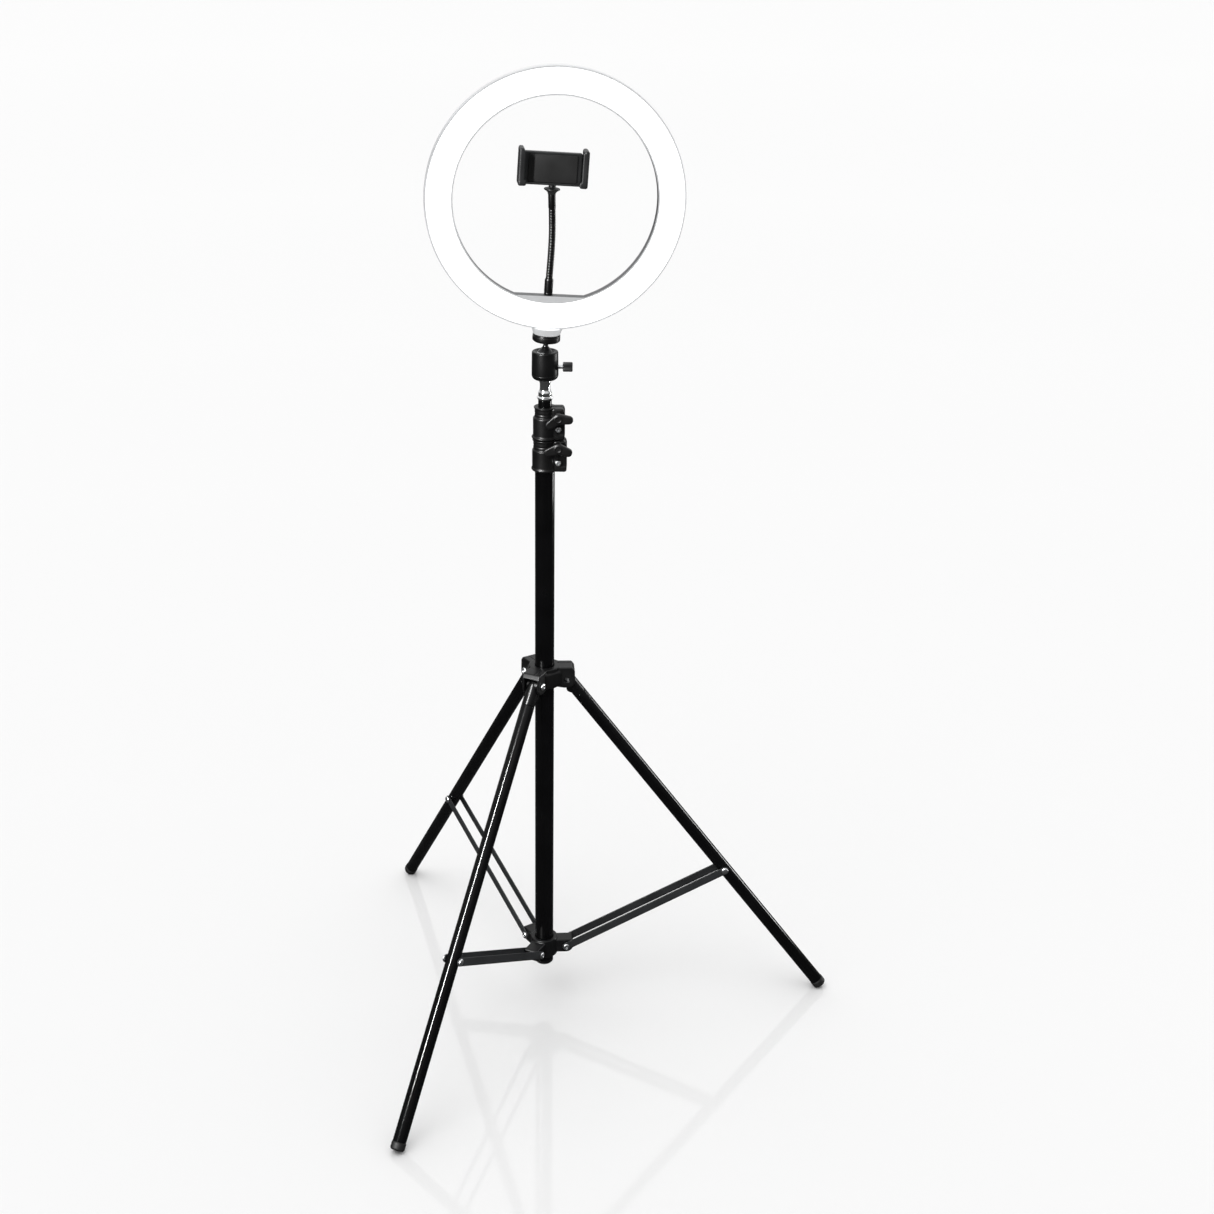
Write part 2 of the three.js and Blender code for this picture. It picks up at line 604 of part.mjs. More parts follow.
function ballStem() {
  const ball = arc(0, BALL_R, -90, 54, 8);
  ball[0][0] = 0;
  const waistR = 2.6;
  const stud = [[STUD_R, PLATE_BOTTOM - GAP], [STUD_R, STUD_TOP], [0, STUD_TOP]];
  return turned([...ball, [waistR, 10.9], [waistR, PLATE_BOTTOM - 0.7], ...stud], 18);
}

function topPlate() {
  const boreR = STUD_R + GAP;
  const top = NECK.bottom - GAP;
  return turned([
    [boreR, PLATE_BOTTOM], [PLATE_R - 1.6, PLATE_BOTTOM], [PLATE_R, PLATE_BOTTOM + 1.6],
    [PLATE_R, top - 0.5], [PLATE_R - 0.5, top], [boreR, top], [boreR, PLATE_BOTTOM],
  ], 24);
}

function addHead() {
  piece("spigot", spigot(), CHROME(), stand);
  piece("ball_head_body", headBody(), BLACK_TUBE(), stand);
  piece("ball_seat", ballSeat(), BLACK_PLASTIC(), stand);
  const knob = piece("head_lock_knob", headKnob(), BLACK_TUBE(), stand);
  knob.position.z = HEAD_KNOB.z;
}

// ---------------------------------------------------------------- the light
// Turns a profile of [radius, depth] points about the ring's axis, which runs along y.
function aroundRing(profile) {
  return turnAbout(turned(profile, RING_ROUND), [1, 0, 0], -90).translate(0, 0, RING_CENTRE);
}

function shelfShape(reachR) {
  const halfAngle = Math.acos(SHELF / HOLE_R);
  const shape = new THREE.Shape();
  const half = SHELF * Math.tan(halfAngle);
  const down = -Math.PI / 2;
  shape.moveTo(-half, RING_CENTRE - SHELF);
  shape.absarc(0, RING_CENTRE, reachR, down - halfAngle, down + halfAngle, false);
  shape.lineTo(half, RING_CENTRE - SHELF);
  return shape;
}

function rearHousing() {
  const [outer, inner] = [RING_R - SHELL, HOLE_R + SHELL];
  const floor = BACK_Y - SHELL;
  const trough = aroundRing([
    [HOLE_R, FRONT_Y], [inner, FRONT_Y], [inner, TROUGH_FLOOR_Y], [inner + 5, floor],
    [outer - 5, floor], [outer, TROUGH_FLOOR_Y], [outer, FRONT_Y], [RING_R, FRONT_Y],
    [RING_R, 3.4], [RING_R - 5.5, BACK_Y], [HOLE_R + 6, BACK_Y], [HOLE_R, 3.6], [HOLE_R, FRONT_Y],
  ]);
  const shelf = slab(shelfShape(HOLE_R + SHELL / 2), FRONT_Y, SHELF_BACK_Y, 6);
  const ringFoot = RING_CENTRE - RING_R;
  const half = NECK.width / 2;
  const neckShape = roundedRect(-half, half, NECK.bottom, ringFoot + NECK.overlap, NECK.cornerR);
  const neck = slab(neckShape, NECK.front, NECK.back, 2);
  const foot = rod([0, 0, NECK.bottom], [0, 0, ringFoot - 1], half, 24);
  const beforeRing = FRONT_Y - 20;
  const troughRoom = aroundRing([
    [inner, beforeRing], [outer, beforeRing], [outer, TROUGH_FLOOR_Y], [inner, TROUGH_FLOOR_Y],
    [inner, beforeRing],
  ]);
  const socket = rod([0, 0, NECK.bottom - 1], [0, 0, STUD_TOP + 2], STUD_R + GAP);
  const shelfTop = RING_CENTRE - SHELF;
  const sleeveHole = rod(
    [SLEEVE.x, SLEEVE.y, shelfTop + 1],
    [SLEEVE.x, SLEEVE.y, shelfTop - SLEEVE.screwLength - 1],
    SLEEVE.screwR + GAP,
  );
  const shell = cut(join([foot, neck]), [troughRoom]);
  return cut(join([trough, shelf, shell]), [socket, sleeveHole]);
}

function diffuser() {
  const [outer, inner] = [RING_R - SHELL - GAP, HOLE_R + SHELL + GAP];
  const middle = (outer + inner) / 2;
  return aroundRing([
    [inner, FRONT_Y + 1.6], [inner, FRONT_Y - 0.2], [inner + 1, FRONT_Y - 0.9],
    [middle, FRONT_Y - 1.6], [outer - 1, FRONT_Y - 0.9], [outer, FRONT_Y - 0.2],
    [outer, FRONT_Y + 1.6], [inner, FRONT_Y + 1.6],
  ]);
}

function ledBoard() {
  const { front, back, inset } = BOARD_FACES;
  const [outer, inner] = [RING_R - SHELL - inset, HOLE_R + SHELL + inset];
  return aroundRing([[inner, front], [outer, front], [outer, back], [inner, back], [inner, front]]);
}

// ---------------------------------------------------------------- gooseneck and phone holder
// A round bar swept along a path.
function swept(path, radius, steps, curveSegments) {
  const outline = new THREE.Shape();
  outline.absarc(0, 0, radius, 0, 2 * Math.PI, false);
  const geometry = new THREE.ExtrudeGeometry(outline, { steps, curveSegments, extrudePath: path });
  return solid(geometry);
}

function ballAt(centre, radius) {
  const geometry = new THREE.SphereGeometry(radius, 12, 6);
  geometry.translate(centre.x, centre.y, centre.z);
  return solid(geometry);
}

// Half of the gooseneck: a bent bar with a round end that its hinge lies in.
function neckHalf(foot, top, bow) {
  const via = foot.clone().lerp(top, 0.5).add(new THREE.Vector3(bow, 0, 0));
  const path = new THREE.QuadraticBezierCurve3(foot, via, top);
  return join([swept(path, NECK_R, 4, 6), ballAt(foot, NECK_R)]);
}

function neckSleeve() {
  const { r, length, x, y, screwR, screwLength } = SLEEVE;
  const made = turned([
    [0, -screwLength], [screwR, -screwLength], [screwR, GAP], [r, GAP], [r, length - 1],
    [r - 0.8, length], [0, length],
  ], 14);
  return made.translate(x, y, -SHELF);
}

function addGooseneck(ring) {
  piece("gooseneck_sleeve", neckSleeve(), BLACK_TUBE(), ring);
  const foot = new THREE.Vector3(SLEEVE.x, SLEEVE.y, -SHELF + SLEEVE.length + GAP + NECK_R);
  const middle = new THREE.Vector3(NECK_MIDDLE.x, NECK_MIDDLE.y, NECK_MIDDLE.z);
  const nextFoot = middle.clone().add(new THREE.Vector3(0, 0, NECK_R + GAP));
  const top = new THREE.Vector3(NECK_TOP.x, NECK_TOP.y, NECK_TOP.z);
  piece("gooseneck_lower", neckHalf(foot, middle, 0.4), BLACK_TUBE(), ring);
  piece("gooseneck_upper", neckHalf(nextFoot, top, 0.4), BLACK_TUBE(), ring);
}

// The flared nut on the gooseneck's end, its stem and the cup that holds the ball.
function holderSocket() {
  const base = NECK_TOP.z + 3 * GAP - HOLDER_Z;
  const cup = arc(0, KNUCKLE_R + GAP, -90, -40, 3);
  cup[0][0] = 0;
  const [rimR, rimZ] = cup[3];
  const flareR = 8;
  const stemR = 3.6;
  const cupR = rimR + 1.4;
  return turned([
    [0, base], [flareR - 1.5, base], [flareR, base + 1.2], [flareR, base + 2.4],
    [stemR, base + 3.6], [stemR, -9.4], [cupR, -7], [cupR, rimZ], ...cup.reverse(),
  ], 16);
}

function holderBall() {
  const peg = rod([0, PLATE.back + PEG.length, 0], [0, 0, 0], PEG.r);
  return join([ballAt(new THREE.Vector3(), KNUCKLE_R), peg]);
}

// The holder's back: a flat box with a channel that the sliding jaw's tongue runs in.
function clampBody() {
  const front = PLATE.back - PLATE.thick;
  const plate = slab(
    roundedRect(-PLATE.halfX - 1, PLATE.halfX, -PLATE.halfZ, PLATE.halfZ, 2),
    front, PLATE.back, 2,
  );
  const { left, halfZ, skin } = CHANNEL;
  const bossTop = PLATE.back + PEG.bossLength;
  const boss = rod([0, PLATE.back - 1, 0], [0, bossTop, 0], PEG.bossR, 16);
  const channel = block(left, PLATE.halfX + 1, front + skin, PLATE.back - skin, -halfZ, halfZ);
  const pegHole = rod([0, PLATE.back + PEG.length - 0.4, 0], [0, bossTop + 2, 0], PEG.r + GAP);
  const back = cut(join([plate, jawRail(-1)]), [channel]).translate(PLATE_SHIFT, 0, 0);
  return cut(join([back, boss]), [pegHole]);
}

// A jaw's upright rail with its forward lip; side is -1 for the left, 1 for the right.
function jawRail(side) {
  const lipTip = JAW.inner - JAW.lip;
  const front = PLATE.back - PLATE.thick;
  const faceY = front - JAW.reach;
  const railShape = roundedRect(JAW.inner, JAW.outer, JAW.bottom, JAW.top, JAW.cornerR);
  const rail = slab(railShape, faceY, PLATE.back, 2);
  const lipShape = roundedRect(lipTip, JAW.outer - 1, JAW.bottom + 2, JAW.top - 2, 2);
  const lip = slab(lipShape, faceY, faceY + JAW.lipThick, 2);
  const jaw = join([rail, lip]);
  return side > 0 ? jaw : jaw.mirror([1, 0, 0]);
}

function slidingJaw() {
  const front = PLATE.back - PLATE.thick;
  const skin = CHANNEL.skin + GAP;
  const halfZ = CHANNEL.halfZ - GAP;
  const tongue = block(TONGUE_LEFT, JAW.inner + 1, front + skin, PLATE.back - skin, -halfZ, halfZ);
  return join([jawRail(1), tongue]);
}

// The coil spring that draws the jaw in, behind the end of its tongue.
function clampSpring() {
  const { turns, wireR, coilR, from, to, stepsPerTurn } = SPRING;
  const steps = turns * stepsPerTurn;
  const centreY = PLATE.back - PLATE.thick / 2;
  const points = Array.from({ length: steps + 1 }, (_, i) => {
    const angle = (i / stepsPerTurn) * 2 * Math.PI;
    const x = THREE.MathUtils.lerp(from, to, i / steps);
    return new THREE.Vector3(x, centreY + coilR * Math.cos(angle), coilR * Math.sin(angle));
  });
  return swept(new THREE.CatmullRomCurve3(points), wireR, steps, 2);
}

function phonePad() {
  const { halfX, halfZ, thick } = PAD;
  const back = PLATE.back - PLATE.thick - GAP;
  return slab(roundedRect(-halfX, halfX, -halfZ, halfZ, 2), back - thick, back, 2);
}

function addHolder(ring) {
  const holder = new THREE.Group();
  holder.position.set(NECK_TOP.x, NECK_TOP.y, HOLDER_Z);
  ring.add(holder);
  piece("holder_socket", holderSocket(), BLACK_PLASTIC(), holder);
  piece("holder_ball", holderBall(), BLACK_PLASTIC(), holder);
  piece("phone_clamp_body", clampBody(), BLACK_PLASTIC(), holder);
  const onPlate = new THREE.Group();
  onPlate.position.x = PLATE_SHIFT;
  holder.add(onPlate);
  piece("sliding_jaw", slidingJaw(), BLACK_PLASTIC(), onPlate);
  piece("clamp_spring", clampSpring(), STEEL(), onPlate);
  piece("phone_pad", phonePad(), RUBBER(), onPlate);
}

function addLight() {
  const yaw = new THREE.Group();
  yaw.position.z = BALL_CENTRE_Z;
  yaw.rotation.z = radians(LIGHT_YAW);
  stand.add(yaw);
  const light = new THREE.Group();
  light.rotation.y = radians(LIGHT_ROLL);
  yaw.add(light);
  piece("ball_stem", ballStem(), CHROME(), light);
  piece("top_plate", topPlate(), BLACK_TUBE(), light);
  piece("rear_housing", rearHousing(), WHITE_SHELL(), light);
  piece("diffuser", diffuser(), DIFFUSER(), light);
  piece("led_board", ledBoard(), BOARD(), light);
  const ring = new THREE.Group();
  ring.position.z = RING_CENTRE;
  light.add(ring);
  addGooseneck(ring);
  addHolder(ring);
}

addColumn();
addCrownAndHub();
for (const [name, azimuth] of Object.entries(LEG_AZIMUTHS)) addLeg(name, azimuth);
addHead();
addLight();

export default ringLight;
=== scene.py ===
import json
import math

import bmesh
import bpy
from mathutils import Matrix, Vector


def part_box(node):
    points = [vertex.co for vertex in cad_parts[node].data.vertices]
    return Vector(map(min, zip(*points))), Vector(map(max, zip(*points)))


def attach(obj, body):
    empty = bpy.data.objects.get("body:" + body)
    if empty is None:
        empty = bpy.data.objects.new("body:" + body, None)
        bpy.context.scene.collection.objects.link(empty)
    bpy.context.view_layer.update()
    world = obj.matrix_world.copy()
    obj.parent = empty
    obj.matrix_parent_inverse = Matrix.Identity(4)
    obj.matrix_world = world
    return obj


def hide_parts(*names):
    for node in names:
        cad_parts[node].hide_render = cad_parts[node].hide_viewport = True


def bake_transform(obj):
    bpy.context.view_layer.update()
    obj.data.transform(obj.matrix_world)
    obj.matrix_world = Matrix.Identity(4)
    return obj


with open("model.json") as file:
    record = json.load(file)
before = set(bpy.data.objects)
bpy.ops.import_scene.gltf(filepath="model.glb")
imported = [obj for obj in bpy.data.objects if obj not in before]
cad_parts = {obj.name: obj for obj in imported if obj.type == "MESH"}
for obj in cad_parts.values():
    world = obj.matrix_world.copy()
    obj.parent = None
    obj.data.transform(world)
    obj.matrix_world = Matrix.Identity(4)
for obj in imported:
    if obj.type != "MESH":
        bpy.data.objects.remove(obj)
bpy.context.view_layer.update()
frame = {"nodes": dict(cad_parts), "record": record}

# ---------------------------------------------------------------- the frame's places
MM = 0.001
LEGS = ("front", "right", "rear")
LEG_R = 7.24
RECORD = frame["record"]
JOINTS = {j["name"]: j for j in RECORD["behaviour"]["joints"]}
MOUNTS = {m["name"]: m for m in RECORD["mounts"]}


def joint_at(name):
    return Vector(JOINTS[name]["pos_m"])


def joint_axis(name):
    return Vector(JOINTS[name]["axis"]).normalized()


def middle(node):
    low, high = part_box(node)
    return (low + high) / 2


def placed(origin, x, y, z):
    """A place to build in: local millimetres, turned on to three axes at an origin in metres."""
    turn = Matrix((x, y, z)).transposed().to_4x4()
    return Matrix.Translation(origin) @ turn @ Matrix.Scale(MM, 4)


COLUMN = Vector((joint_at("head_pan").x, joint_at("head_pan").y, 0))
STAND = placed(COLUMN, Vector((1, 0, 0)), Vector((0, 1, 0)), Vector((0, 0, 1)))


def from_column(point):
    """The azimuth, distance and height in millimetres of a point, seen from the column."""
    away = Vector(point) - COLUMN
    return math.atan2(away.y, away.x), math.hypot(away.x, away.y) / MM, away.z / MM


def upright(height_mm, azimuth=0.0, reach_mm=0.0):
    """Upright on the column at a height, turned to an azimuth and moved out along it."""
    out = Vector((math.cos(azimuth), math.sin(azimuth), 0))
    side = Vector((-out.y, out.x, 0))
    at = COLUMN + out * reach_mm * MM + Vector((0, 0, height_mm * MM))
    return placed(at, out, side, Vector((0, 0, 1)))


def azimuth_of(leg):
    return from_column(joint_at(f"leg_{leg}_fold"))[0]


def leg_place(leg):
    """Origin at the crown pivot, z up along the leg, y along the pivot's axis."""
    pivot = joint_at(f"leg_{leg}_fold")
    foot = Vector(MOUNTS[f"foot_rest_{leg}"]["pos_m"]) + Vector((0, 0, LEG_R * MM))
    up = (pivot - foot).normalized()
    side = joint_axis(f"leg_{leg}_fold")
    return placed(pivot, side.cross(up), side, up), (pivot - foot).length / MM


def brace_place(leg):
    """Origin at the hub pivot, x along the brace, y along the pivot's axis."""
    pivot = joint_at(f"brace_{leg}_fold")
    end = (middle(f"brace_rivet_{leg}_a") + middle(f"brace_rivet_{leg}_b")) / 2
    along = (end - pivot).normalized()
    side = joint_axis(f"leg_{leg}_fold")
    return placed(pivot, along, side, along.cross(side)), (end - pivot).length / MM


BALL = joint_at("ball_nod")
LIGHT_AXES = (joint_axis("neck_lower_bend"), joint_axis("neck_upper_bend"), joint_axis("light_swivel"))
LIGHT = placed(BALL, *LIGHT_AXES)
RING_UP = (middle("diffuser") - BALL).dot(LIGHT_AXES[2])
RING = placed(BALL + LIGHT_AXES[2] * RING_UP, *LIGHT_AXES)
HOLDER = placed(joint_at("holder_tilt"), *LIGHT_AXES)


def local(place, point):
    return place.inverted() @ Vector(point)


def span(node):
    """Bottom, top and outer radius in millimetres of an upright round node on the column."""
    low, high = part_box(node)
    return low.z / MM, high.z / MM, (high.x - low.x) / 2 / MM


# ---------------------------------------------------------------- meshes
def fillet(points, radius, steps=3, closed=False):
    """Rounds the corners of an outline; the ends of an open one stay where they are."""
    made = []
    count = len(points)
    for i, point in enumerate(points):
        here = Vector(point)
        if not closed and i in (0, count - 1):
            made.append(here)
            continue
        back = Vector(points[i - 1]) - here
        ahead = Vector(points[(i + 1) % count]) - here
        reach = min(radius, 0.45 * back.length, 0.45 * ahead.length)
        if back.normalized().dot(ahead.normalized()) < -0.995:
            made.append(here)
            continue
        start = here + back.normalized() * reach
        end = here + ahead.normalized() * reach
        for k in range(steps + 1):
            t = k / steps
            made.append(start * (1 - t) ** 2 + here * 2 * t * (1 - t) + end * t * t)
    return made


def mesh_piece(name, verts, faces, place=STAND, sharp=35):
    """A mesh object at the origin, with its place in its vertices."""
    mesh = bpy.data.meshes.new(name)
    mesh.from_pydata([place @ Vector(v) for v in verts], [], faces)
    tidy(mesh)
    piece = bpy.data.objects.new(name, mesh)
    bpy.context.scene.collection.objects.link(piece)
    shade(piece, sharp)
    return piece


def tidy(mesh):
    work = bmesh.new()
    work.from_mesh(mesh)
    bmesh.ops.remove_doubles(work, verts=work.verts, dist=1e-7)
    bmesh.ops.recalc_face_normals(work, faces=work.faces)
    work.to_mesh(mesh)
    work.free()


def shade(piece, sharp=35):
    piece.data.shade_smooth()
    piece.data.set_sharp_from_angle(angle=math.radians(sharp))


def turned(name, profile, place=STAND, facets=72, radius=0.35, closed=False):
    """Turns a profile of (radius, height) points about the place's z axis."""
    points = fillet(profile, radius, closed=closed)
    verts, rings = [], []
    for r, z in points:
        if abs(r) < 1e-6:
            rings.append([len(verts)] * facets)
            verts.append((0, 0, z))
            continue
        rings.append([len(verts) + i for i in range(facets)])
        for i in range(facets):
            angle = 2 * math.pi * i / facets
            verts.append((r * math.cos(angle), r * math.sin(angle), z))
    pairs = list(zip(rings, rings[1:]))
    if closed:
        pairs.append((rings[-1], rings[0]))
    faces = []
    for low, high in pairs:
        for i in range(facets):
            j = (i + 1) % facets
            corners = [low[i], low[j], high[j], high[i]]
            corners = list(dict.fromkeys(corners))
            if len(corners) > 2:
                faces.append(corners)
    return mesh_piece(name, verts, faces, place)


def slab(name, outline, y0, y1, place=STAND, edge=0.4, corner=0.0):
    """Extrudes an outline of (x, z) points from y0 to y1, with rounded edges."""
    points = fillet(outline, corner, 5, closed=True) if corner else [Vector(p) for p in outline]
    count = len(points)
    verts = [(p.x, y0, p.y) for p in points] + [(p.x, y1, p.y) for p in points]
    faces = [list(range(count)), list(range(2 * count - 1, count - 1, -1))]
    faces += [[i, (i + 1) % count, count + (i + 1) % count, count + i] for i in range(count)]
    piece = mesh_piece(name, verts, faces, place)
    if edge:
        bevel = piece.modifiers.new("edge", "BEVEL")
        bevel.width = edge * MM
        bevel.segments = 3
        bevel.limit_method = "ANGLE"
        bevel.angle_limit = math.radians(40)
        bevel.use_clamp_overlap = True
        bake(piece)
        shade(piece)
    return piece


def bake(piece):
    """Applies the piece's modifiers to its mesh."""
    view = bpy.context.evaluated_depsgraph_get()
    made = bpy.data.meshes.new_from_object(piece.evaluated_get(view))
    piece.modifiers.clear()
    piece.data = made


def boolean(piece, others, operation):
    for other in others:
        step = piece.modifiers.new(operation, "BOOLEAN")
        step.operation = operation
        step.solver = "EXACT"
        step.object = other
        bake(piece)
        bpy.data.objects.remove(other)
    return piece


def carve(piece, *tools):
    return boolean(piece, tools, "DIFFERENCE")


def fuse(piece, *others):
    return boolean(piece, others, "UNION")


def mould(piece, voxel=0.45, rounds=4):
    """Rounds every edge and inside corner of a fused solid, as moulding does."""
    remesh = piece.modifiers.new("remesh", "REMESH")
    remesh.mode = "VOXEL"
    remesh.voxel_size = voxel * MM
    smooth = piece.modifiers.new("smooth", "SMOOTH")
    smooth.factor = 0.5
    smooth.iterations = rounds
    thin = piece.modifiers.new("thin", "DECIMATE")
    thin.ratio = 0.35
    bake(piece)
    tidy(piece.data)
    drop_crumbs(piece.data)
    shade(piece, 50)
    return piece


def drop_crumbs(mesh):
    """Keeps the largest connected part, without the specks that moulding can leave beside it."""
    work = bmesh.new()
    work.from_mesh(mesh)
    seen, parts = set(), []
    for seed in work.verts:
        if seed in seen:
            continue
        seen.add(seed)
        part, front = [seed], [seed]
        while front:
            vert = front.pop()
            near = [other for other in (edge.other_vert(vert) for edge in vert.link_edges)
                    if other not in seen]
            seen.update(near)
            part += near
            front += near
        parts.append(part)
    parts.sort(key=len)
    bmesh.ops.delete(work, geom=[vert for part in parts[:-1] for vert in part], context="VERTS")
    work.to_mesh(mesh)
    work.free()


def pin(name, start, end, radius, place=STAND, facets=32, edge=0.15):
    """A round bar between two local points."""
    a, b = Vector(start), Vector(end)
    along = b - a
    turn = along.to_track_quat("Z", "Y").to_matrix().to_4x4()
    length = along.length
    profile = [(0, 0), (radius, 0), (radius, length), (0, length)]
    return turned(name, profile, place @ Matrix.Translation(a) @ turn, facets, edge)


def taper(length, root, tip):
    """The outline of a bar from radius root at the origin to radius tip at x = length."""
    count = 10
    lean = math.asin((root - tip) / length)
    right = [-math.pi / 2 + lean + (math.pi - 2 * lean) * i / count for i in range(count + 1)]
    left = [math.pi / 2 - lean + (math.pi + 2 * lean) * i / count for i in range(count + 1)]
    outline = [(length + tip * math.cos(a), tip * math.sin(a)) for a in right]
    return outline + [(root * math.cos(a), root * math.sin(a)) for a in left]


def box_outline(x0, x1, z0, z1):
    return [(x0, z0), (x1, z0), (x1, z1), (x0, z1)]


def arc(radius, start, end, steps, centre=(0, 0)):
    """Points on a circle between two angles in degrees."""
    made = []
    for i in range(steps + 1):
        angle = math.radians(start + (end - start) * i / steps)
        made.append((centre[0] + radius * math.cos(angle), centre[1] + radius * math.sin(angle)))
    return made


def finish(piece, material, body, slot, *nodes):
    """Gives a piece its material, its body and the CAD nodes that it stands for."""
    piece.data.materials.clear()
    piece.data.materials.append(material)
    if body:
        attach(piece, body)
    if nodes:
        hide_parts(*nodes)
    return piece


# ---------------------------------------------------------------- materials
def node_tree(name):
    material = bpy.data.materials.new(name)
    material.use_nodes = True
    nodes = material.node_tree.nodes
    return material, nodes, material.node_tree.links, nodes["Principled BSDF"]


def noise(nodes, links, scale, detail=3.0, stretch=None):
    coords = nodes.new("ShaderNodeTexCoord")
    texture = nodes.new("ShaderNodeTexNoise")
    texture.inputs["Scale"].default_value = scale
    texture.inputs["Detail"].default_value = detail
    if stretch:
        mapping = nodes.new("ShaderNodeMapping")
        mapping.inputs["Scale"].default_value = stretch
        links.new(coords.outputs["Object"], mapping.inputs["Vector"])
        links.new(mapping.outputs["Vector"], texture.inputs["Vector"])
    else:
        links.new(coords.outputs["Object"], texture.inputs["Vector"])
    return texture.outputs["Fac"]


def remap(nodes, links, value, low, high):
    spread = nodes.new("ShaderNodeMapRange")
    spread.inputs["From Min"].default_value = 0.3
    spread.inputs["From Max"].default_value = 0.7
    spread.inputs["To Min"].default_value = low
    spread.inputs["To Max"].default_value = high
    links.new(value, spread.inputs["Value"])
    return spread.outputs["Result"]


def two_tone(nodes, links, value, dark, light):
    mix = nodes.new("ShaderNodeMix")
    mix.data_type = "RGBA"
    mix.inputs["A"].default_value = (*dark, 1)
    mix.inputs["B"].default_value = (*light, 1)
    links.new(value, mix.inputs["Factor"])
    return mix.outputs["Result"]


def surface(name, dark, light, rough, grain, bump=0.05, metal=0.0, specular=0.5,
            stretch=None, wear=0.0):
    """A finish with fine grain in its bump, cloudy roughness and colour, and lighter worn edges."""
    material, nodes, links, shader = node_tree(name)
    shader.inputs["Metallic"].default_value = metal
    shader.inputs["Specular IOR Level"].default_value = specular
    cloud = noise(nodes, links, 28.0, 2.0)
    fine = noise(nodes, links, grain, 4.0, stretch)
    spread = remap(nodes, links, cloud, rough[0], rough[1])
    links.new(spread, shader.inputs["Roughness"])
    colour = two_tone(nodes, links, remap(nodes, links, cloud, 0.0, 1.0), dark, light)
    if wear:
        geometry = nodes.new("ShaderNodeNewGeometry")
        edge = nodes.new("ShaderNodeMapRange")
        edge.inputs["From Min"].default_value = 0.52
        edge.inputs["From Max"].default_value = 0.62
        edge.inputs["To Max"].default_value = wear
        links.new(geometry.outputs["Pointiness"], edge.inputs["Value"])
        mix = nodes.new("ShaderNodeMix")
        mix.data_type = "RGBA"
        mix.inputs["B"].default_value = (*(min(1.0, c * 3 + 0.02) for c in light), 1)
        links.new(edge.outputs["Result"], mix.inputs["Factor"])
        links.new(colour, mix.inputs["A"])
        colour = mix.outputs["Result"]
    links.new(colour, shader.inputs["Base Color"])
    if bump:
        relief = nodes.new("ShaderNodeBump")
        relief.inputs["Strength"].default_value = bump
        relief.inputs["Distance"].default_value = 0.0003
        links.new(fine, relief.inputs["Height"])
        links.new(relief.outputs["Normal"], shader.inputs["Normal"])
    return material


def glowing(name, colour, strength):
    """A frosted opal sheet, lit evenly from behind."""
    material, nodes, links, shader = node_tree(name)
    shader.inputs["Base Color"].default_value = (*colour, 1)
    shader.inputs["Roughness"].default_value = 0.55
    shader.inputs["Emission Color"].default_value = (*colour, 1)
    glow = remap(nodes, links, noise(nodes, links, 900.0), strength * 0.985, strength * 1.015)
    links.new(glow, shader.inputs["Emission Strength"])
    relief = nodes.new("ShaderNodeBump")
    relief.inputs["Strength"].default_value = 0.03
    relief.inputs["Distance"].default_value = 0.0002
    links.new(noise(nodes, links, 2500.0), relief.inputs["Height"])
    links.new(relief.outputs["Normal"], shader.inputs["Normal"])
    return material


TUBE = surface("black_powder_coat", (0.0030, 0.0030, 0.0033), (0.0050, 0.0050, 0.0055), (0.11, 0.16),
               1500.0, 0.04, specular=0.18)
BAR = surface("black_painted_bar", (0.018, 0.0195, 0.0205), (0.028, 0.030, 0.032), (0.34, 0.46),
              900.0, 0.10, specular=0.22, wear=0.25)
PLASTIC = surface("moulded_black_nylon", (0.0045, 0.0045, 0.0048), (0.0085, 0.0085, 0.009), (0.30, 0.42),
                  2200.0, 0.14, specular=0.2, wear=0.35)
GLOSS_PLASTIC = surface("glossy_black_nylon", (0.0035, 0.0035, 0.0038), (0.0060, 0.0060, 0.0064),
                        (0.2, 0.3), 2200.0, 0.06, specular=0.18, wear=0.2)
HOLDER_PLASTIC = surface("soft_black_abs", (0.018, 0.019, 0.020), (0.028, 0.029, 0.030), (0.36, 0.48),
                         2600.0, 0.14, specular=0.22, wear=0.3)
RUBBER = surface("black_rubber", (0.007, 0.007, 0.007), (0.012, 0.012, 0.012), (0.5, 0.7), 1200.0, 0.3,
                 specular=0.2)
STEEL = surface("zinc_plated_steel", (0.46, 0.47, 0.48), (0.66, 0.67, 0.68), (0.2, 0.34), 1800.0, 0.08,
                metal=1.0)
CHROME = surface("polished_chrome", (0.72, 0.73, 0.74), (0.82, 0.83, 0.84), (0.05, 0.11), 600.0, 0.01,
                 metal=1.0)
HEAD_BLACK = surface("black_anodised_aluminium", (0.0040, 0.0040, 0.0043), (0.0070, 0.0070, 0.0074),
                     (0.26, 0.36), 2500.0, 0.08, specular=0.2, wear=0.25, stretch=(1, 1, 12))
KNOB_BLACK = surface("knurled_black_aluminium", (0.010, 0.010, 0.011), (0.018, 0.018, 0.019), (0.3, 0.42),
                     2500.0, 0.08, specular=0.3, wear=0.35)
COIL = surface("black_coil", (0.0035, 0.0035, 0.0037), (0.0070, 0.0070, 0.0074), (0.26, 0.36), 1200.0,
               0.05, specular=0.25)
# Painted shade: the white housing's walls facing into the hole, and the shelf's top, coloured dark grey
SHELL_PAINTED_SHADE = surface("painted_shade_inner_wall", (0.13, 0.133, 0.137), (0.16, 0.163, 0.167), (0.4, 0.5), 1800.0,
                      0.04, specular=0.2)
# Painted reflection: near-black colour for the chrome stem's cone, standing in for the dark plate it
# reflects
STEM_PAINTED_REFLECTION = surface("painted_dark_reflection_on_chrome", (0.012, 0.012, 0.013), (0.02, 0.02, 0.021), (0.2, 0.3), 900.0,
                     0.02, specular=0.4)
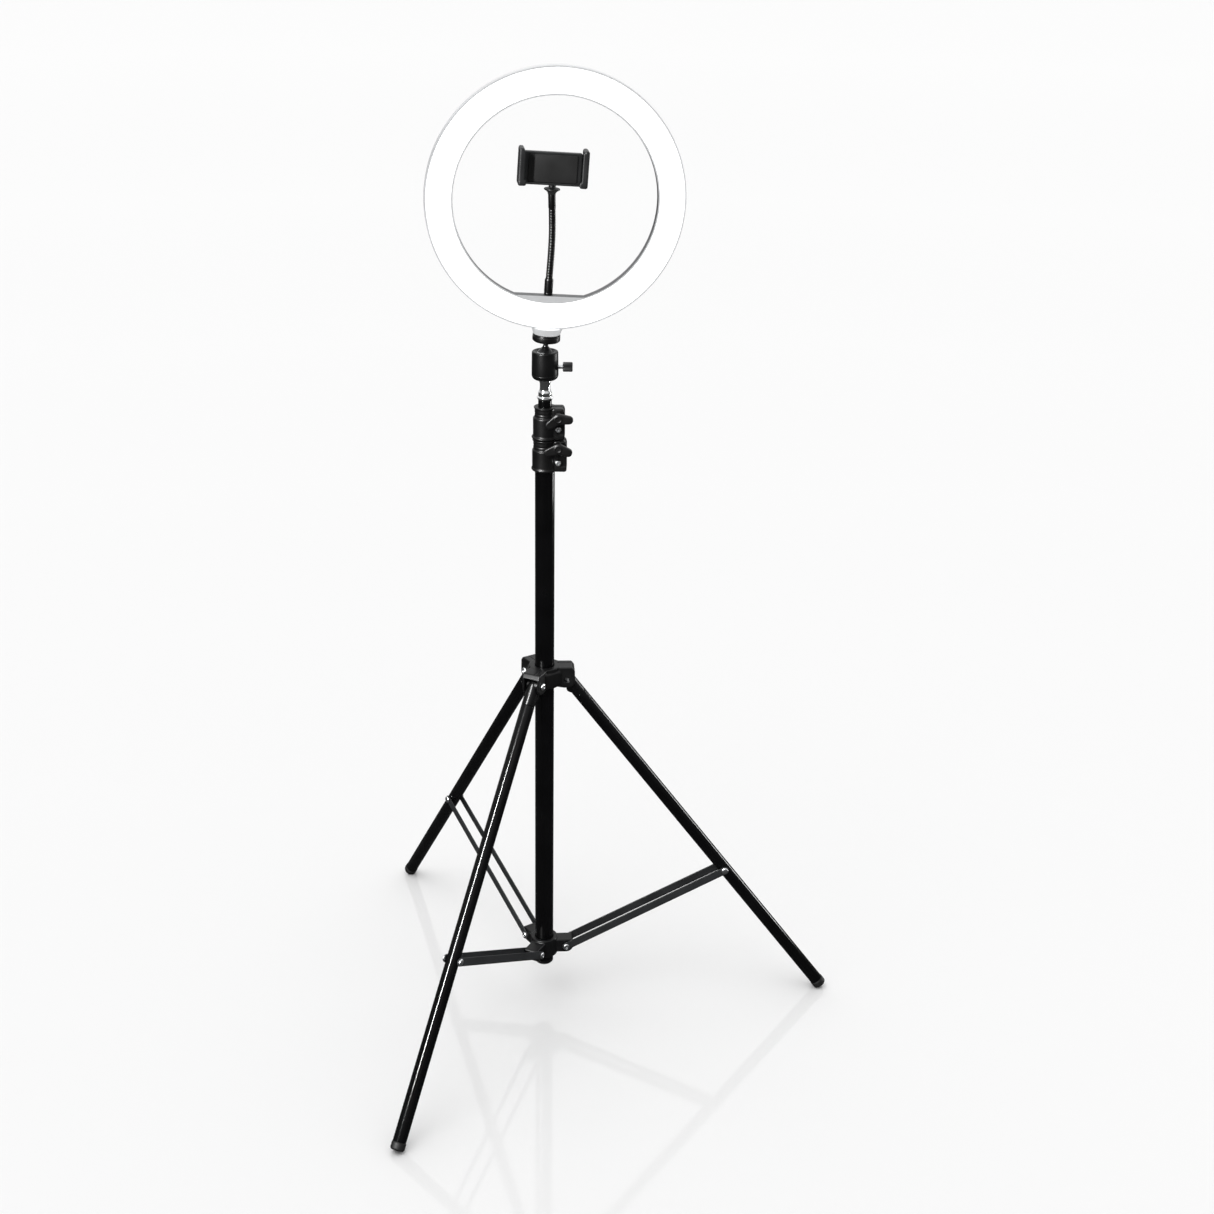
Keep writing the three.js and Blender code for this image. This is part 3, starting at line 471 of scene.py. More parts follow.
SHELL = surface("white_abs", (0.78, 0.79, 0.80), (0.83, 0.84, 0.85), (0.32, 0.42), 1800.0, 0.05,
                specular=0.3)
OPAL = glowing("lit_opal_diffuser", (1.0, 1.0, 1.0), 1.15)
BOARD = surface("white_solder_mask", (0.78, 0.78, 0.75), (0.84, 0.84, 0.82), (0.35, 0.5), 700.0, 0.05)


# ---------------------------------------------------------------- column
TUBE_WALL = 1.0
RUNNING_GAP = 0.25
PIVOT_BORE = 2.8


def tube(name, bottom, top, radius, place=STAND):
    """A tube along the place's z, with its bore open at both ends."""
    inner = radius - TUBE_WALL
    loop = [(inner, bottom), (radius, bottom), (radius, top), (inner, top)]
    return turned(name, loop, place, 96, 0.3, closed=True)


def build_column():
    tubes = {"main_tube": "column", "mid_tube": "mid_section", "top_tube": "top_section"}
    for node, body in tubes.items():
        bottom, top, radius = span(node)
        finish(tube(f"{node}_skin", bottom, top, radius), TUBE, body, "tube_black", node)
    bottom, top, radius = span("column_end_cap")
    lip = bottom + 4
    cap = [(0, bottom), (radius - 1.4, bottom), (radius, bottom + 1.6), (radius, lip),
           (radius - 1.4, lip), (radius - 1.4, top), (0, top)]
    finish(turned("column_end_plug", cap), PLASTIC, "column", "plastic_black", "column_end_cap")
    bushes = {"mid_tube_bush": "mid_section", "top_tube_bush": "top_section"}
    for node, body in bushes.items():
        bottom, top, radius = span(node)
        lip = bottom + 8.7
        inner, plug = radius - 3.6, radius - 2.05
        ring = [(inner, bottom), (radius, bottom), (radius, lip), (plug, lip), (plug, top), (inner, top)]
        finish(turned(f"{node}_skin", ring, closed=True), PLASTIC, body, "plastic_black", node)


# Each clamp collar: its lug stands out along +X with the wing knob's shaft along y.
LUG_X = 14.2
LUG_HALF = 8.6
WING_DROOP = 21.0


def collar(node, body, rim, shell, neck, above, reach):
    """A split clamp round two tubes; above is the inside radius over the tube that slides."""
    low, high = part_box(node)
    bottom, top = low.z / MM, high.z / MM
    bore = {"lower_clamp_collar": span("main_tube")[2], "upper_clamp_collar": span("mid_tube")[2]}[node]
    shoulder = top - (top - bottom) * 0.31
    ridge = bottom + 3.6
    profile = [
        (bore + RUNNING_GAP, bottom), (rim - 1.5, bottom), (rim, bottom + 1.5), (rim, bottom + 2.5),
        (shell + 0.2, ridge), (shell, ridge + 1), (shell, shoulder - 1), (shell - 0.9, shoulder),
        (neck, shoulder), (neck, shoulder + 3), (neck - 0.35, shoulder + 3.4),
        (neck - 0.35, shoulder + 4.4), (neck, shoulder + 4.8), (neck, top - 1.9),
        (neck + 0.9, top - 1.2), (neck + 0.9, top), (above, top), (above, shoulder - 2.5),
        (bore + RUNNING_GAP, shoulder - 2.5),
    ]
    ring = turned(f"{node}_moulding", profile, facets=96, radius=0.3, closed=True)
    outline = [(bore - 1, bottom + 0.4), (reach, bottom + 0.4), (reach, top - 4),
               (reach - 1.6, top - 0.2), (bore - 1, top - 0.2)]
    lug = slab("lug", outline, -LUG_HALF, LUG_HALF, edge=1.3, corner=2.8)
    hollow = pin("hollow", (0, 0, bottom - 2), (0, 0, shoulder - 2.5), bore + RUNNING_GAP, facets=96,
                 edge=0)
    throat = pin("throat", (0, 0, bottom - 2), (0, 0, top + 2), above, facets=96, edge=0)
    slit = slab("slit", box_outline(above - 2, 40, bottom - 2, top + 2), -0.8, 0.8, edge=0)
    waist = slab("waist", box_outline(bore + 4.2, 40, bottom + 6, top - 12), -LUG_HALF - 3,
                 -LUG_HALF + 1.1, edge=0.6, corner=3)
    carve(fuse(ring, lug), hollow, throat, slit, waist)
    mould(ring, 0.36, 3)
    return finish(ring, PLASTIC, body, "plastic_black", node)


def wing_knob(name, place, turn):
    """A winged knob: y of the place runs along its shaft, its face is towards -y."""
    hub = pin(name, (0, -LUG_HALF - 0.4, 0), (0, -15.4, 0), 4.5, place, 40, 0.6)
    wings = []
    for side in (1, -1):
        angle = math.radians(WING_DROOP if side > 0 else 180 - WING_DROOP)
        spin = Matrix.Rotation(angle - math.radians(turn), 4, "Y")
        wing = slab("wing", taper(11.2, 5.6, 4.2), -20.6, -14.9, place @ spin, edge=1.3)
        wings.append(wing)
    boss = pin("boss", (0, -15, 0), (0, -21.2, 0), 4.3, place, 40, 1.0)
    dish = pin("dish", (0, -22, 0), (0, -20.6, 0), 2.9, place, 32, 0)
    fuse(hub, *wings, boss)
    carve(hub, dish)
    mould(hub, 0.3, 4)
    shaft = pin("shaft", (0, -12, 0), (0, LUG_HALF - 1, 0), 2.0, place, 24)
    fuse(hub, shaft)
    shade(hub, 50)
    return hub


def hex_screw(name, place):
    """A hexagon head with a turned chamfer, on a plain shank along y."""
    head_outline = [(3.1 * math.cos(math.pi * i / 3), 3.1 * math.sin(math.pi * i / 3)) for i in range(6)]
    head = slab(name, head_outline, -LUG_HALF - 2.7, -LUG_HALF - 0.3, place, edge=0.35)
    shank = pin("shank", (0, -LUG_HALF - 1.5, 0), (0, LUG_HALF - 0.8, 0), 2.0, place, 24)
    dimple = pin("dimple", (0, -LUG_HALF - 4, 0), (0, -LUG_HALF - 2.1, 0), 1.2, place, 24, 0)
    fuse(head, shank)
    carve(head, dimple)
    shade(head)
    return head


def build_clamps():
    collar("lower_clamp_collar", "column", 14.2, 13.3, 12.1, span("mid_tube")[2] + RUNNING_GAP, 22.8)
    collar("upper_clamp_collar", "mid_section", 13.9, 12.4, 10.7, span("top_tube")[2] + RUNNING_GAP, 20.6)
    turns = {"lower": 0.0, "upper": 16.0}
    bodies = {"lower": "column", "upper": "mid_section"}
    for level, turn in turns.items():
        height = joint_at(f"{level}_knob_turn").z / MM
        knob = wing_knob(f"{level}_wing", STAND @ Matrix.Translation((LUG_X, 0, height)), turn)
        finish(knob, PLASTIC, f"{level}_knob", "plastic_black", f"{level}_wing_knob")
        screw_z = middle(f"{level}_clamp_screw").z / MM
        screw = hex_screw(f"{level}_hex_screw", STAND @ Matrix.Translation((LUG_X, 0, screw_z)))
        finish(screw, STEEL, bodies[level], "fastener_steel", f"{level}_clamp_screw")


# ---------------------------------------------------------------- crown and lower hub
CROWN_HALF = 10.15
CROWN_EYE = 9.4
SLOT_HALF = 7.7
SLOT_START = 16.5
HUB_HALF = 8.1
HUB_EYE = 8.0


def sleeve(name, radius, bottom, top, edge):
    """A solid round block on the column."""
    return turned(name, [(0, bottom), (radius, bottom), (radius, top), (0, top)], STAND, 96, edge)


def build_crown():
    """The clevis block: an arm for each leg, the webs between them and the lock knob's boss."""
    low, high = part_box("crown")
    bottom, top = low.z / MM, high.z / MM
    main_r = span("main_tube")[2]
    _, reach, height = from_column(joint_at("leg_front_fold"))
    block = sleeve("crown_moulding", 17.2, bottom, top, 1.2)
    arms, cuts = [], []
    for leg in LEGS:
        place = upright(0, azimuth_of(leg))
        outline = [(0, top), (0, bottom), (13, bottom), (reach - 3, height - CROWN_EYE)]
        outline += arc(CROWN_EYE, -96, -20, 8, (reach, height))
        outline += [(reach + 8.7, height + 6), (reach + 8.7, top - 4.6), (reach + 5.6, top - 0.4)]
        arms.append(slab("arm", outline, -CROWN_HALF, CROWN_HALF, place, edge=1.3, corner=1.2))
        cuts.append(slab("groove", box_outline(14, reach + 6, top - 0.9, top + 1), 2.6, 3.7, place, edge=0))
        cuts.append(slab("slot", box_outline(SLOT_START, 60, bottom - 9, top - 5.4), -SLOT_HALF, SLOT_HALF,
                         place, edge=0.8, corner=1.0))
        cuts.append(pin("bore", (reach, -30, height), (reach, 30, height), PIVOT_BORE, place, 32, 0))
    azimuth, _, knob_z = from_column(joint_at("crown_knob_turn"))
    place = upright(knob_z, azimuth)
    boss = pin("boss", (8, 0, 0), (22, 0, 0), 7, place, 48, 0.8)
    cuts.append(pin("thread", (4, 0, 0), (40, 0, 0), 3.3, place, 32, 0))
    cuts.append(pin("bore", (0, 0, bottom - 4), (0, 0, top + 4), main_r + RUNNING_GAP, STAND, 96, 0))
    webs = []
    for before, after in zip(LEGS, LEGS[1:] + LEGS[:1]):
        if after == "rear":
            continue
        turn = (azimuth_of(after) - azimuth_of(before)) % (2 * math.pi)
        web = [(0, top - 4), (0, bottom + 1.5), (18.6, bottom + 1.5), (18.6, top - 4)]
        webs.append(slab("web", web, -11, 11, upright(0, azimuth_of(before) + turn / 2), edge=2.4))
    fuse(block, *arms, *webs, boss)
    carve(block, *cuts)
    mould(block, 0.42, 4)
    finish(block, PLASTIC, "crown", "plastic_black", "crown")

    knob = pin("crown_wing", (22.6, 0, 0), (31, 0, 0), 5.2, place, 40, 0.8)
    facing = place @ Matrix.Rotation(math.pi / 2, 4, "Z")
    wings = []
    for angle in (-14, 194):
        spin = Matrix.Rotation(math.radians(angle), 4, "Y")
        wings.append(slab("wing", taper(9, 5, 3.8), -36, -29, facing @ spin, edge=1.3))
    fuse(knob, *wings)
    mould(knob, 0.34, 3)
    fuse(knob, pin("shaft", (10.9, 0, 0), (28, 0, 0), 3.0, place, 24))
    shade(knob, 50)
    finish(knob, PLASTIC, "crown_knob", "plastic_black", "crown_lock_knob")


def domed_pin(name, half, place, sides):
    """A bolt along y with a domed head on the given sides, each with a shallow drive recess."""
    def head(side):
        turn = Matrix.Rotation(-side * math.pi / 2, 4, "X")
        profile = [(0, half), (4, half), (4, half + 0.9), (3.4, half + 1.7), (2.2, half + 2.2),
                   (1.5, half + 2.2), (1.2, half + 1.3), (0, half + 1.3)]
        return turned("head", profile, place @ turn, 40, 0.3)
    low_end = -half + 3.6 if -1 not in sides else -half
    shank = pin(name, (0, low_end, 0), (0, half + 0.5, 0), 2.5, place, 32)
    fuse(shank, *(head(side) for side in sides))
    shade(shank)
    return shank


def build_hub():
    """The block at the foot of the column, with an arm for each pair of braces."""
    low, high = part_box("lower_hub")
    bottom, top = low.z / MM, high.z / MM
    _, reach, height = from_column(joint_at("brace_front_fold"))
    hub = sleeve("hub_moulding", 15.2, bottom, top, 1.0)
    arms, cuts = [], []
    for leg in LEGS:
        place = upright(height, azimuth_of(leg))
        outline = [(0, HUB_EYE), (0, -HUB_EYE), (reach, -HUB_EYE)]
        outline += arc(HUB_EYE, -80, 0, 8, (reach, 0))
        outline += [(reach + HUB_EYE, 6.5), (reach + 6.4, HUB_EYE)]
        arms.append(slab("arm", outline, -HUB_HALF, HUB_HALF, place, edge=0.9))
        cuts.append(pin("bore", (reach, -30, 0), (reach, 30, 0), PIVOT_BORE, place, 32, 0))
    main_r = span("main_tube")[2]
    cuts.append(pin("bore", (0, 0, bottom - 4), (0, 0, top + 4), main_r + RUNNING_GAP, STAND, 96, 0))
    fuse(hub, *arms)
    carve(hub, *cuts)
    mould(hub, 0.42, 3)
    finish(hub, PLASTIC, "column", "plastic_black", "lower_hub")


# ---------------------------------------------------------------- legs and braces
FITTING = 24.0
FOOT_R = 7.75
PLUG_R = 5.9


def leg_fitting(name, place):
    """The moulded eye on the leg's top, a little fuller than the tube on its underside."""
    shank = turned(name, [(0, -36), (PLUG_R, -36), (PLUG_R, -23.7), (LEG_R, -23.7), (LEG_R, -1), (6.4, 3),
                          (3.6, 5.6), (0, 6.4)], place, 64, 0.5)
    outline = [(0, 4), (-4, 4.6), (-6.6, 0), (-6.8, -4), (-6.9, -8.8), (-8.4, -11), (-8.4, -13),
               (-7.0, -16), (-3, -19), (0, -19)]
    web = slab("web", outline, -6.2, 6.2, place, edge=1.4, corner=1.0)
    eye = pin("eye", (0, -7.1, 0), (0, 7.1, 0), 6.3, place, 48, 1.2)
    bore = pin("bore", (0, -20, 0), (0, 20, 0), PIVOT_BORE, place, 32, 0)
    fuse(shank, web, eye)
    carve(shank, bore)
    return mould(shank, 0.36, 3)


def foot_cap(name, place, length):
    """A blunt plug with a softly rounded rim and a thin collar, standing on a small worn flat."""
    end, rim = -length - 5.0, 2.6
    top = -length + 3.7
    nose = [(FOOT_R - rim + x, end + rim + z) for x, z in arc(rim, -90, 0, 8)]
    profile = [(0, end), *nose, (FOOT_R, top - 0.9), (FOOT_R - 0.3, top - 0.6), (FOOT_R, top - 0.3),
               (7.6, top), (PLUG_R, top), (PLUG_R, top + 14), (0, top + 14)]
    cap = turned(name, profile, place, 64, 0.15)
    floor = slab("floor", box_outline(-600, 600, -60, 0), -600, 600, STAND, edge=0)
    carve(cap, floor)
    shade(cap)
    return cap


def brace_bar(name, place, length, side):
    """A flat bar with pressed round ends, splayed a little from the leg to the hub."""
    inside_hub, inside_leg, thick = 8.5, 7.6, 1.4
    splay = Matrix.Identity(4)
    splay[1][0] = side * (inside_leg - inside_hub) / length
    outline = taper(length, 4.6, 4.6)
    y = sorted((side * inside_hub, side * (inside_hub + thick)))
    bar = slab(name, outline, y[0], y[1], place @ splay, edge=0.35)
    for x in (0, length):
        carve(bar, pin("hole", (x, -20, 0), (x, 20, 0), PIVOT_BORE, place, 32, 0))
    shade(bar)
    return bar


def brace_rivet(name, place, length, side):
    inner, face = 7.7, 9.3
    profile = [(0, inner), (2.5, inner), (2.5, face), (4, face), (4, face + 0.8), (3.3, face + 1.6),
               (1.6, face + 2.0), (0, face + 2.0)]
    turn = Matrix.Rotation(-side * math.pi / 2, 4, "X")
    return turned(name, profile, place @ Matrix.Translation((length, 0, 0)) @ turn, 40, 0.25)


def build_leg(leg):
    body = f"leg_{leg}"
    place, length = leg_place(leg)
    finish(tube(f"{body}_skin", -length + 4, -FITTING, LEG_R, place), TUBE, body, "tube_black",
           f"leg_tube_{leg}")
    finish(leg_fitting(f"{body}_eye", place), GLOSS_PLASTIC, body, "plastic_black",
           f"leg_top_fitting_{leg}")
    finish(foot_cap(f"{body}_foot", place, length), RUBBER, body, "rubber_black", f"foot_cap_{leg}")
    azimuth, reach, height = from_column(joint_at(f"leg_{leg}_fold"))
    bolt_place = upright(height, azimuth, reach)
    finish(domed_pin(f"crown_bolt_{leg}", 10.45, bolt_place, (1,)), STEEL, "crown", "fastener_steel",
           f"crown_pivot_bolt_{leg}")

    body = f"brace_{leg}"
    place, length = brace_place(leg)
    for label, side in (("a", 1), ("b", -1)):
        bar = brace_bar(f"{body}_{label}", place, length, side)
        finish(bar, BAR, body, "brace_black", f"brace_bar_{leg}_{label}")
        rivet = brace_rivet(f"{body}_rivet_{label}", place, length, side)
        finish(rivet, STEEL, body, "fastener_steel", f"brace_rivet_{leg}_{label}")
    azimuth, reach, height = from_column(joint_at(f"brace_{leg}_fold"))
    bolt_place = upright(height, azimuth, reach)
    finish(domed_pin(f"hub_bolt_{leg}", 10.2, bolt_place, (1, -1)), STEEL, "column", "fastener_steel",
           f"hub_pivot_bolt_{leg}")


# ---------------------------------------------------------------- spigot and ball head
BALL_R = 9.5
CUP_R = 9.9


def build_head():
    """The spigot, the ball head's body and seat, its lock knob, the ball and the plate on its stem."""
    low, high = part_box("spigot")
    base = low.z / MM + 26
    profile = [
        (0, base - 26), (5.7, base - 26), (5.7, base), (7.2, base), (8.4, base + 2.2), (8.2, base + 3),
        (6.5, base + 4), (6.9, base + 5.6), (6.9, base + 7.9), (5.9, base + 9.6), (5.3, base + 11),
        (5.3, base + 17.6), (5.9, base + 18.6), (5.9, base + 21.4), (3.1, base + 21.4),
        (3.1, base + 30), (0, base + 30),
    ]
    finish(turned("spigot_skin", profile, radius=0.8), CHROME, "top_section", "spigot_chrome", "spigot")

    low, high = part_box("ball_head_body")
    bottom, top = low.z / MM, high.z / MM
    centre = BALL.z / MM
    socket = arc(CUP_R, 30, 0, 8, (0, centre))
    profile = [
        (0, bottom), (10.8, bottom), (12.9, bottom + 1.6), (13.8, bottom + 4.2), (13.8, bottom + 4.9),
        (13.5, bottom + 5.2), (13.8, bottom + 5.5), (13.5, top - 0.8), (12.7, top), (10.9, top),
        (10.2, top - 0.7),
        *socket, (CUP_R, centre - 13.4), (0, centre - 13.4),
    ]
    shell = turned("head_shell", profile, facets=96, radius=0.7)
    carve(shell, pin("stud_hole", (0, 0, bottom - 2), (0, 0, bottom + 8.6), 3.4, STAND, 32, 0),
          pin("knob_hole", (6, 0, joint_at("head_knob_turn").z / MM),
              (20, 0, joint_at("head_knob_turn").z / MM), 2.3, STAND, 32, 0))
    shade(shell, 30)
    finish(shell, HEAD_BLACK, "head", "head_black", "ball_head_body")

    cup = arc(9.8, -68, -26, 8, (0, centre))
    seat = [(cup[0][0], 757), (9.6, 757), (9.6, cup[-1][1])] + cup[::-1]
    finish(turned("ball_seat_skin", seat, closed=True, radius=0.1), PLASTIC, "head", "plastic_black",
           "ball_seat")

    knob_z = joint_at("head_knob_turn").z / MM
    place = STAND @ Matrix.Translation((0, 0, knob_z)) @ Matrix.Rotation(math.pi / 2, 4, "Y")
    finish(knurled_knob("head_knob_skin", place), KNOB_BLACK, "head_knob", "head_black", "head_lock_knob")
    shaft = turned("head_knob_shaft", [(0, 10.6), (2, 10.6), (2, 18.6), (0, 18.6)], place, 32, 0.15)
    finish(shaft, STEEL, "head_knob", "fastener_steel")

    ball = arc(BALL_R, -90, 30, 24)
    ball[0] = (0, -BALL_R)
    profile = ball + [(7.4, 5.6), (2.8, 10.8), (2.6, 13), (3.1, 15.4), (3.1, 31), (0, 31)]
    stem = turned("ball_and_stem", profile, LIGHT, radius=0.5)
    finish(stem, CHROME, "ball", "spigot_chrome", "ball_stem")
    # Painted reflection: the chrome cone and neck under the plate get a near-black second material
    stem.data.materials.append(STEM_PAINTED_REFLECTION)
    for face in stem.data.polygons:
        if 4.9 < local(LIGHT, face.center).z < 15.4:
            face.material_index = 1
    plate = [(3.4, 15.9), (12.4, 15.9), (14.2, 17.5), (14.2, 21.6), (13.7, 21.9), (13.7, 22.5),
             (14.2, 22.8), (13.8, 23.8), (3.4, 23.8)]
    finish(turned("top_plate_skin", plate, LIGHT, closed=True, radius=0.5), HEAD_BLACK, "ball",
           "head_black", "top_plate")


def knurled_knob(name, place):
    """A straight-knurled grip along the place's z."""
    teeth, facets = 30, 240
    rings = [(0, 18.2), (4.2, 18.2), (4.75, 18.7), (4.75, 27.6), (4.2, 28.2), (2.6, 28.2), (2.4, 27.7),
             (0, 27.7)]
    grip = turned(name, rings, Matrix.Identity(4), facets, 0.12)
    for vert in grip.data.vertices:
        x, y, z = vert.co
        r = math.hypot(x, y)
        if r > 4.3:
            swell = 1 + 0.045 * math.cos(teeth * math.atan2(y, x))
            vert.co = (x * swell, y * swell, z)
    grip.data.transform(place)
    tidy(grip.data)
    shade(grip, 35)
    return grip


# ---------------------------------------------------------------- the light
RING_R = 130.0
HOLE_R = 102.0
SHELF = 96.0
FRONT, BACK = -7.0, 8.0
WALL = 1.6
NECK_BOTTOM = 24.1
NECK_HALF = 15.5


def ring_axis(place):
    """The same place, with its z along the ring's axis, towards the back."""
    return place @ Matrix.Rotation(-math.pi / 2, 4, "X")


def build_light():
    """The housing with its neck and shelf in one moulding, the diffuser and the LEDs' board."""
    inner, outer = HOLE_R + WALL, RING_R - WALL
    floor = BACK - WALL
    trough = [
        (HOLE_R, FRONT), (inner, FRONT), (inner, 2.4), (inner + 5, floor), (outer - 5, floor),
        (outer, 2.4), (outer, FRONT), (RING_R, FRONT), (RING_R, 3.0), (RING_R - 3.0, 6.8),
        (RING_R - 7, BACK), (HOLE_R + 8, BACK), (HOLE_R + 3, 6.8), (HOLE_R, 3.4),
    ]
    housing = turned("housing_shell", trough, ring_axis(RING), 240, 0.5, closed=True)
    half_angle = math.acos(SHELF / HOLE_R)
    foot = [(HOLE_R + 0.8) * math.sin(half_angle), SHELF]
    lower = [((HOLE_R + 0.8) * math.sin(a), -(HOLE_R + 0.8) * math.cos(a))
             for a in (half_angle * (1 - i / 12) for i in range(25))]
    outline = [(foot[0], -foot[1])] + lower + [(-foot[0], -foot[1])]
    shelf = slab("shelf", outline, FRONT, 4.0, RING, edge=0)
    up = RING_UP / MM
    ring_foot = up - RING_R
    stub = turned("stub", [(0, NECK_BOTTOM), (NECK_HALF - 1.6, NECK_BOTTOM), (NECK_HALF, ring_foot + 0.8),
                           (0, ring_foot + 0.8)], LIGHT, 96, 0.6)
    saddle = slab("saddle", box_outline(-NECK_HALF, NECK_HALF, NECK_BOTTOM + 3, ring_foot + 16), -6, 12,
                  LIGHT, edge=2.2, corner=4)
    room = turned("room", [(inner, FRONT - 20), (outer, FRONT - 20), (outer, 2.4), (inner, 2.4)],
                  ring_axis(RING), 240, 0, closed=True)
    socket = pin("socket", (0, 0, NECK_BOTTOM - 1), (0, 0, 33), 3.4, LIGHT, 32, 0)
    neck_x = local(RING, joint_at("neck_lower_bend")).x
    screw_hole = pin("screw_hole", (neck_x, -1.5, -SHELF + 1), (neck_x, -1.5, -SHELF - 7), 2.3, RING, 32, 0)
    neck = fuse(stub, saddle)
    carve(neck, room)
    fuse(housing, shelf, neck)
    carve(housing, socket, screw_hole)
    shade(housing, 32)
    finish(housing, SHELL, "light", "shell_white", "rear_housing")
    # Painted shade: faces turned in towards the hole get the dark grey second material in place of shade
    housing.data.materials.append(SHELL_PAINTED_SHADE)
    to_ring = RING.inverted()
    for face in housing.data.polygons:
        at = to_ring @ face.center
        normal = (to_ring.to_3x3() @ face.normal).normalized()
        away = math.hypot(at.x, at.z)
        inward = -(at.x * normal.x + at.z * normal.z) / away
        if inward > 0.8 and HOLE_R - 8 < away < HOLE_R + 1:
            face.material_index = 1

    low, high = inner + 0.3, outer - 0.3
    crown = [(low + (high - low) * i / 10, FRONT - 0.35 - 1.25 * math.sin(math.pi * i / 10) ** 0.6)
             for i in range(11)]
    back = [(high, FRONT + 1.6), (low, FRONT + 1.6)]
    diffuser = turned("opal_diffuser", crown + back, ring_axis(RING), 240, 0.25, closed=True)
    finish(diffuser, OPAL, "light", "diffuser_white", "diffuser")

    section = [(inner + 2, 0.4), (outer - 2, 0.4), (outer - 2, 1.6), (inner + 2, 1.6)]
    board = turned("led_ring_board", section, ring_axis(RING), 120, 0.1, closed=True)
    finish(board, BOARD, "light", "board_white", "led_board")


# ---------------------------------------------------------------- gooseneck and phone holder
COIL_R = 3.5
COIL_PITCH = 2.8
COIL_DEPTH = 0.5


def coil(name, points, radius):
    """A close-wound coil along a smooth path: a bar whose radius rises and falls along a helix."""
    per_turn, around = 16, 40
    total = sum((b - a).length for a, b in zip(points, points[1:]))
    count = int(total / COIL_PITCH * per_turn)
    verts = []
    for i in range(count + 1):
        centre, along = on_path(points, total * i / count)
        side = along.cross(Vector((0, 1, 0))).normalized()
        up = side.cross(along).normalized()
        for k in range(around):
            angle = 2 * math.pi * k / around
            wave = abs(math.cos(math.pi * (i / per_turn) - angle / 2))
            r = radius - COIL_DEPTH + COIL_DEPTH * wave ** 0.5
            verts.append(centre + side * r * math.cos(angle) + up * r * math.sin(angle))
    faces = [[a * around + k, a * around + (k + 1) % around, (a + 1) * around + (k + 1) % around,
              (a + 1) * around + k] for a in range(count) for k in range(around)]
    faces.append(list(range(around)))
    faces.append([count * around + k for k in range(around - 1, -1, -1)])
    return mesh_piece(name, verts, faces, RING, sharp=60)


def on_path(points, distance):
    """The point and direction at a distance along a polyline."""
    for a, b in zip(points, points[1:]):
        step = (b - a).length
        if distance <= step or b is points[-1]:
            return a + (b - a) * min(1.0, distance / step), (b - a).normalized()
        distance -= step
    return points[-1], (points[-1] - points[-2]).normalized()


def smooth_path(knots, steps=16):
    """A Catmull-Rom curve through the knots."""
    padded = [knots[0] * 2 - knots[1], *knots, knots[-1] * 2 - knots[-2]]
    made = []
    for a, b, c, d in zip(padded, padded[1:], padded[2:], padded[3:]):
        for i in range(steps):
            t = i / steps
            made.append(0.5 * (2 * b + (c - a) * t + (2 * a - 5 * b + 4 * c - d) * t * t
                               + (3 * b - a - 3 * c + d) * t ** 3))
    made.append(knots[-1])
    return made


def build_gooseneck():
    foot = local(RING, joint_at("neck_lower_bend"))
    waist = local(RING, joint_at("neck_upper_bend"))
    top = local(RING, joint_at("holder_tilt"))
    sleeve_top = -SHELF + 17
    profile = [(0, -6), (2, -6), (2, 0.3), (4.35, 0.3), (4.35, 2.4), (4.0, 2.8), (4.35, 3.2),
               (4.35, 15.6), (3.9, 16.9), (0, 16.9)]
    place = RING @ Matrix.Translation((foot.x, foot.y, -SHELF))
    finish(turned("gooseneck_ferrule", profile, place, 48, 0.25), HEAD_BLACK, "light", "neck_black",
           "gooseneck_sleeve")
    start = Vector((foot.x, foot.y, sleeve_top - 1.5))
    end = Vector((top.x, top.y, top.z - 26.9))
    path = smooth_path([start, foot, (foot + waist) / 2 + Vector((0.3, -0.2, 0)), waist,
                        (waist + end) / 2 + Vector((0.2, 0, 0)), end])
    split = min(range(len(path)), key=lambda i: abs(path[i].z - (waist.z - 10)))
    lower = coil("gooseneck_coil_lower", path[: split + 1], COIL_R)
    finish(lower, COIL, None, "neck_black", "gooseneck_lower")
    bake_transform(lower)
    upper = coil("gooseneck_coil_upper", path[split:], COIL_R)
    finish(upper, COIL, None, "neck_black", "gooseneck_upper")
    sleeve_foot = min(path, key=lambda point: abs((end - point).length - 15))
    ferrule = pin("gooseneck_end_sleeve", sleeve_foot, end + Vector((0, 0, 0.4)), COIL_R + 0.2, RING, 40,
                  0.3)
    finish(ferrule, HEAD_BLACK, "neck_upper", "neck_black")
    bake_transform(upper)


def build_holder():
    base = -26.5
    cup = arc(5.5, -40, -90, 6)
    cup[-1] = (0, -5.5)
    profile = [(0, base - 1.5), (3.9, base - 1.5), (4.2, base), (5.6, base + 1.6), (8, base + 3.0),
               (8, base + 4.2), (3.6, base + 5.4), (3.6, -9.4), (5.6, -7), (5.6, cup[0][1])] + cup
    finish(turned("holder_trumpet", profile, HOLDER, 56, 0.4), HOLDER_PLASTIC, "neck_upper",
           "plastic_black", "holder_socket")
    ball = arc(5.2, -90, 90, 20)
    ball[0], ball[-1] = (0, -5.2), (0, 5.2)
    knuckle = turned("holder_ball_skin", ball, HOLDER, 48, 0)
    fuse(knuckle, pin("peg", (0, -8.8, 0), (0, 0, 0), 2, HOLDER, 24))
    shade(knuckle)
    finish(knuckle, HOLDER_PLASTIC, "knuckle", "plastic_black", "holder_ball")
    build_clamp_body()
    build_sliding_jaw()


PLATE_BACK, PLATE_FRONT = -9.8, -16.8
PLATE_HALF_X, PLATE_HALF_Z = 28.6, 15.6
JAW_IN, JAW_OUT, JAW_FRONT = 28.9, 34.1, -28.8
JAW_LOW, JAW_HIGH = -16.2, 20.2
PLATE = HOLDER @ Matrix.Translation((local(HOLDER, middle("phone_pad")).x, 0, 0))


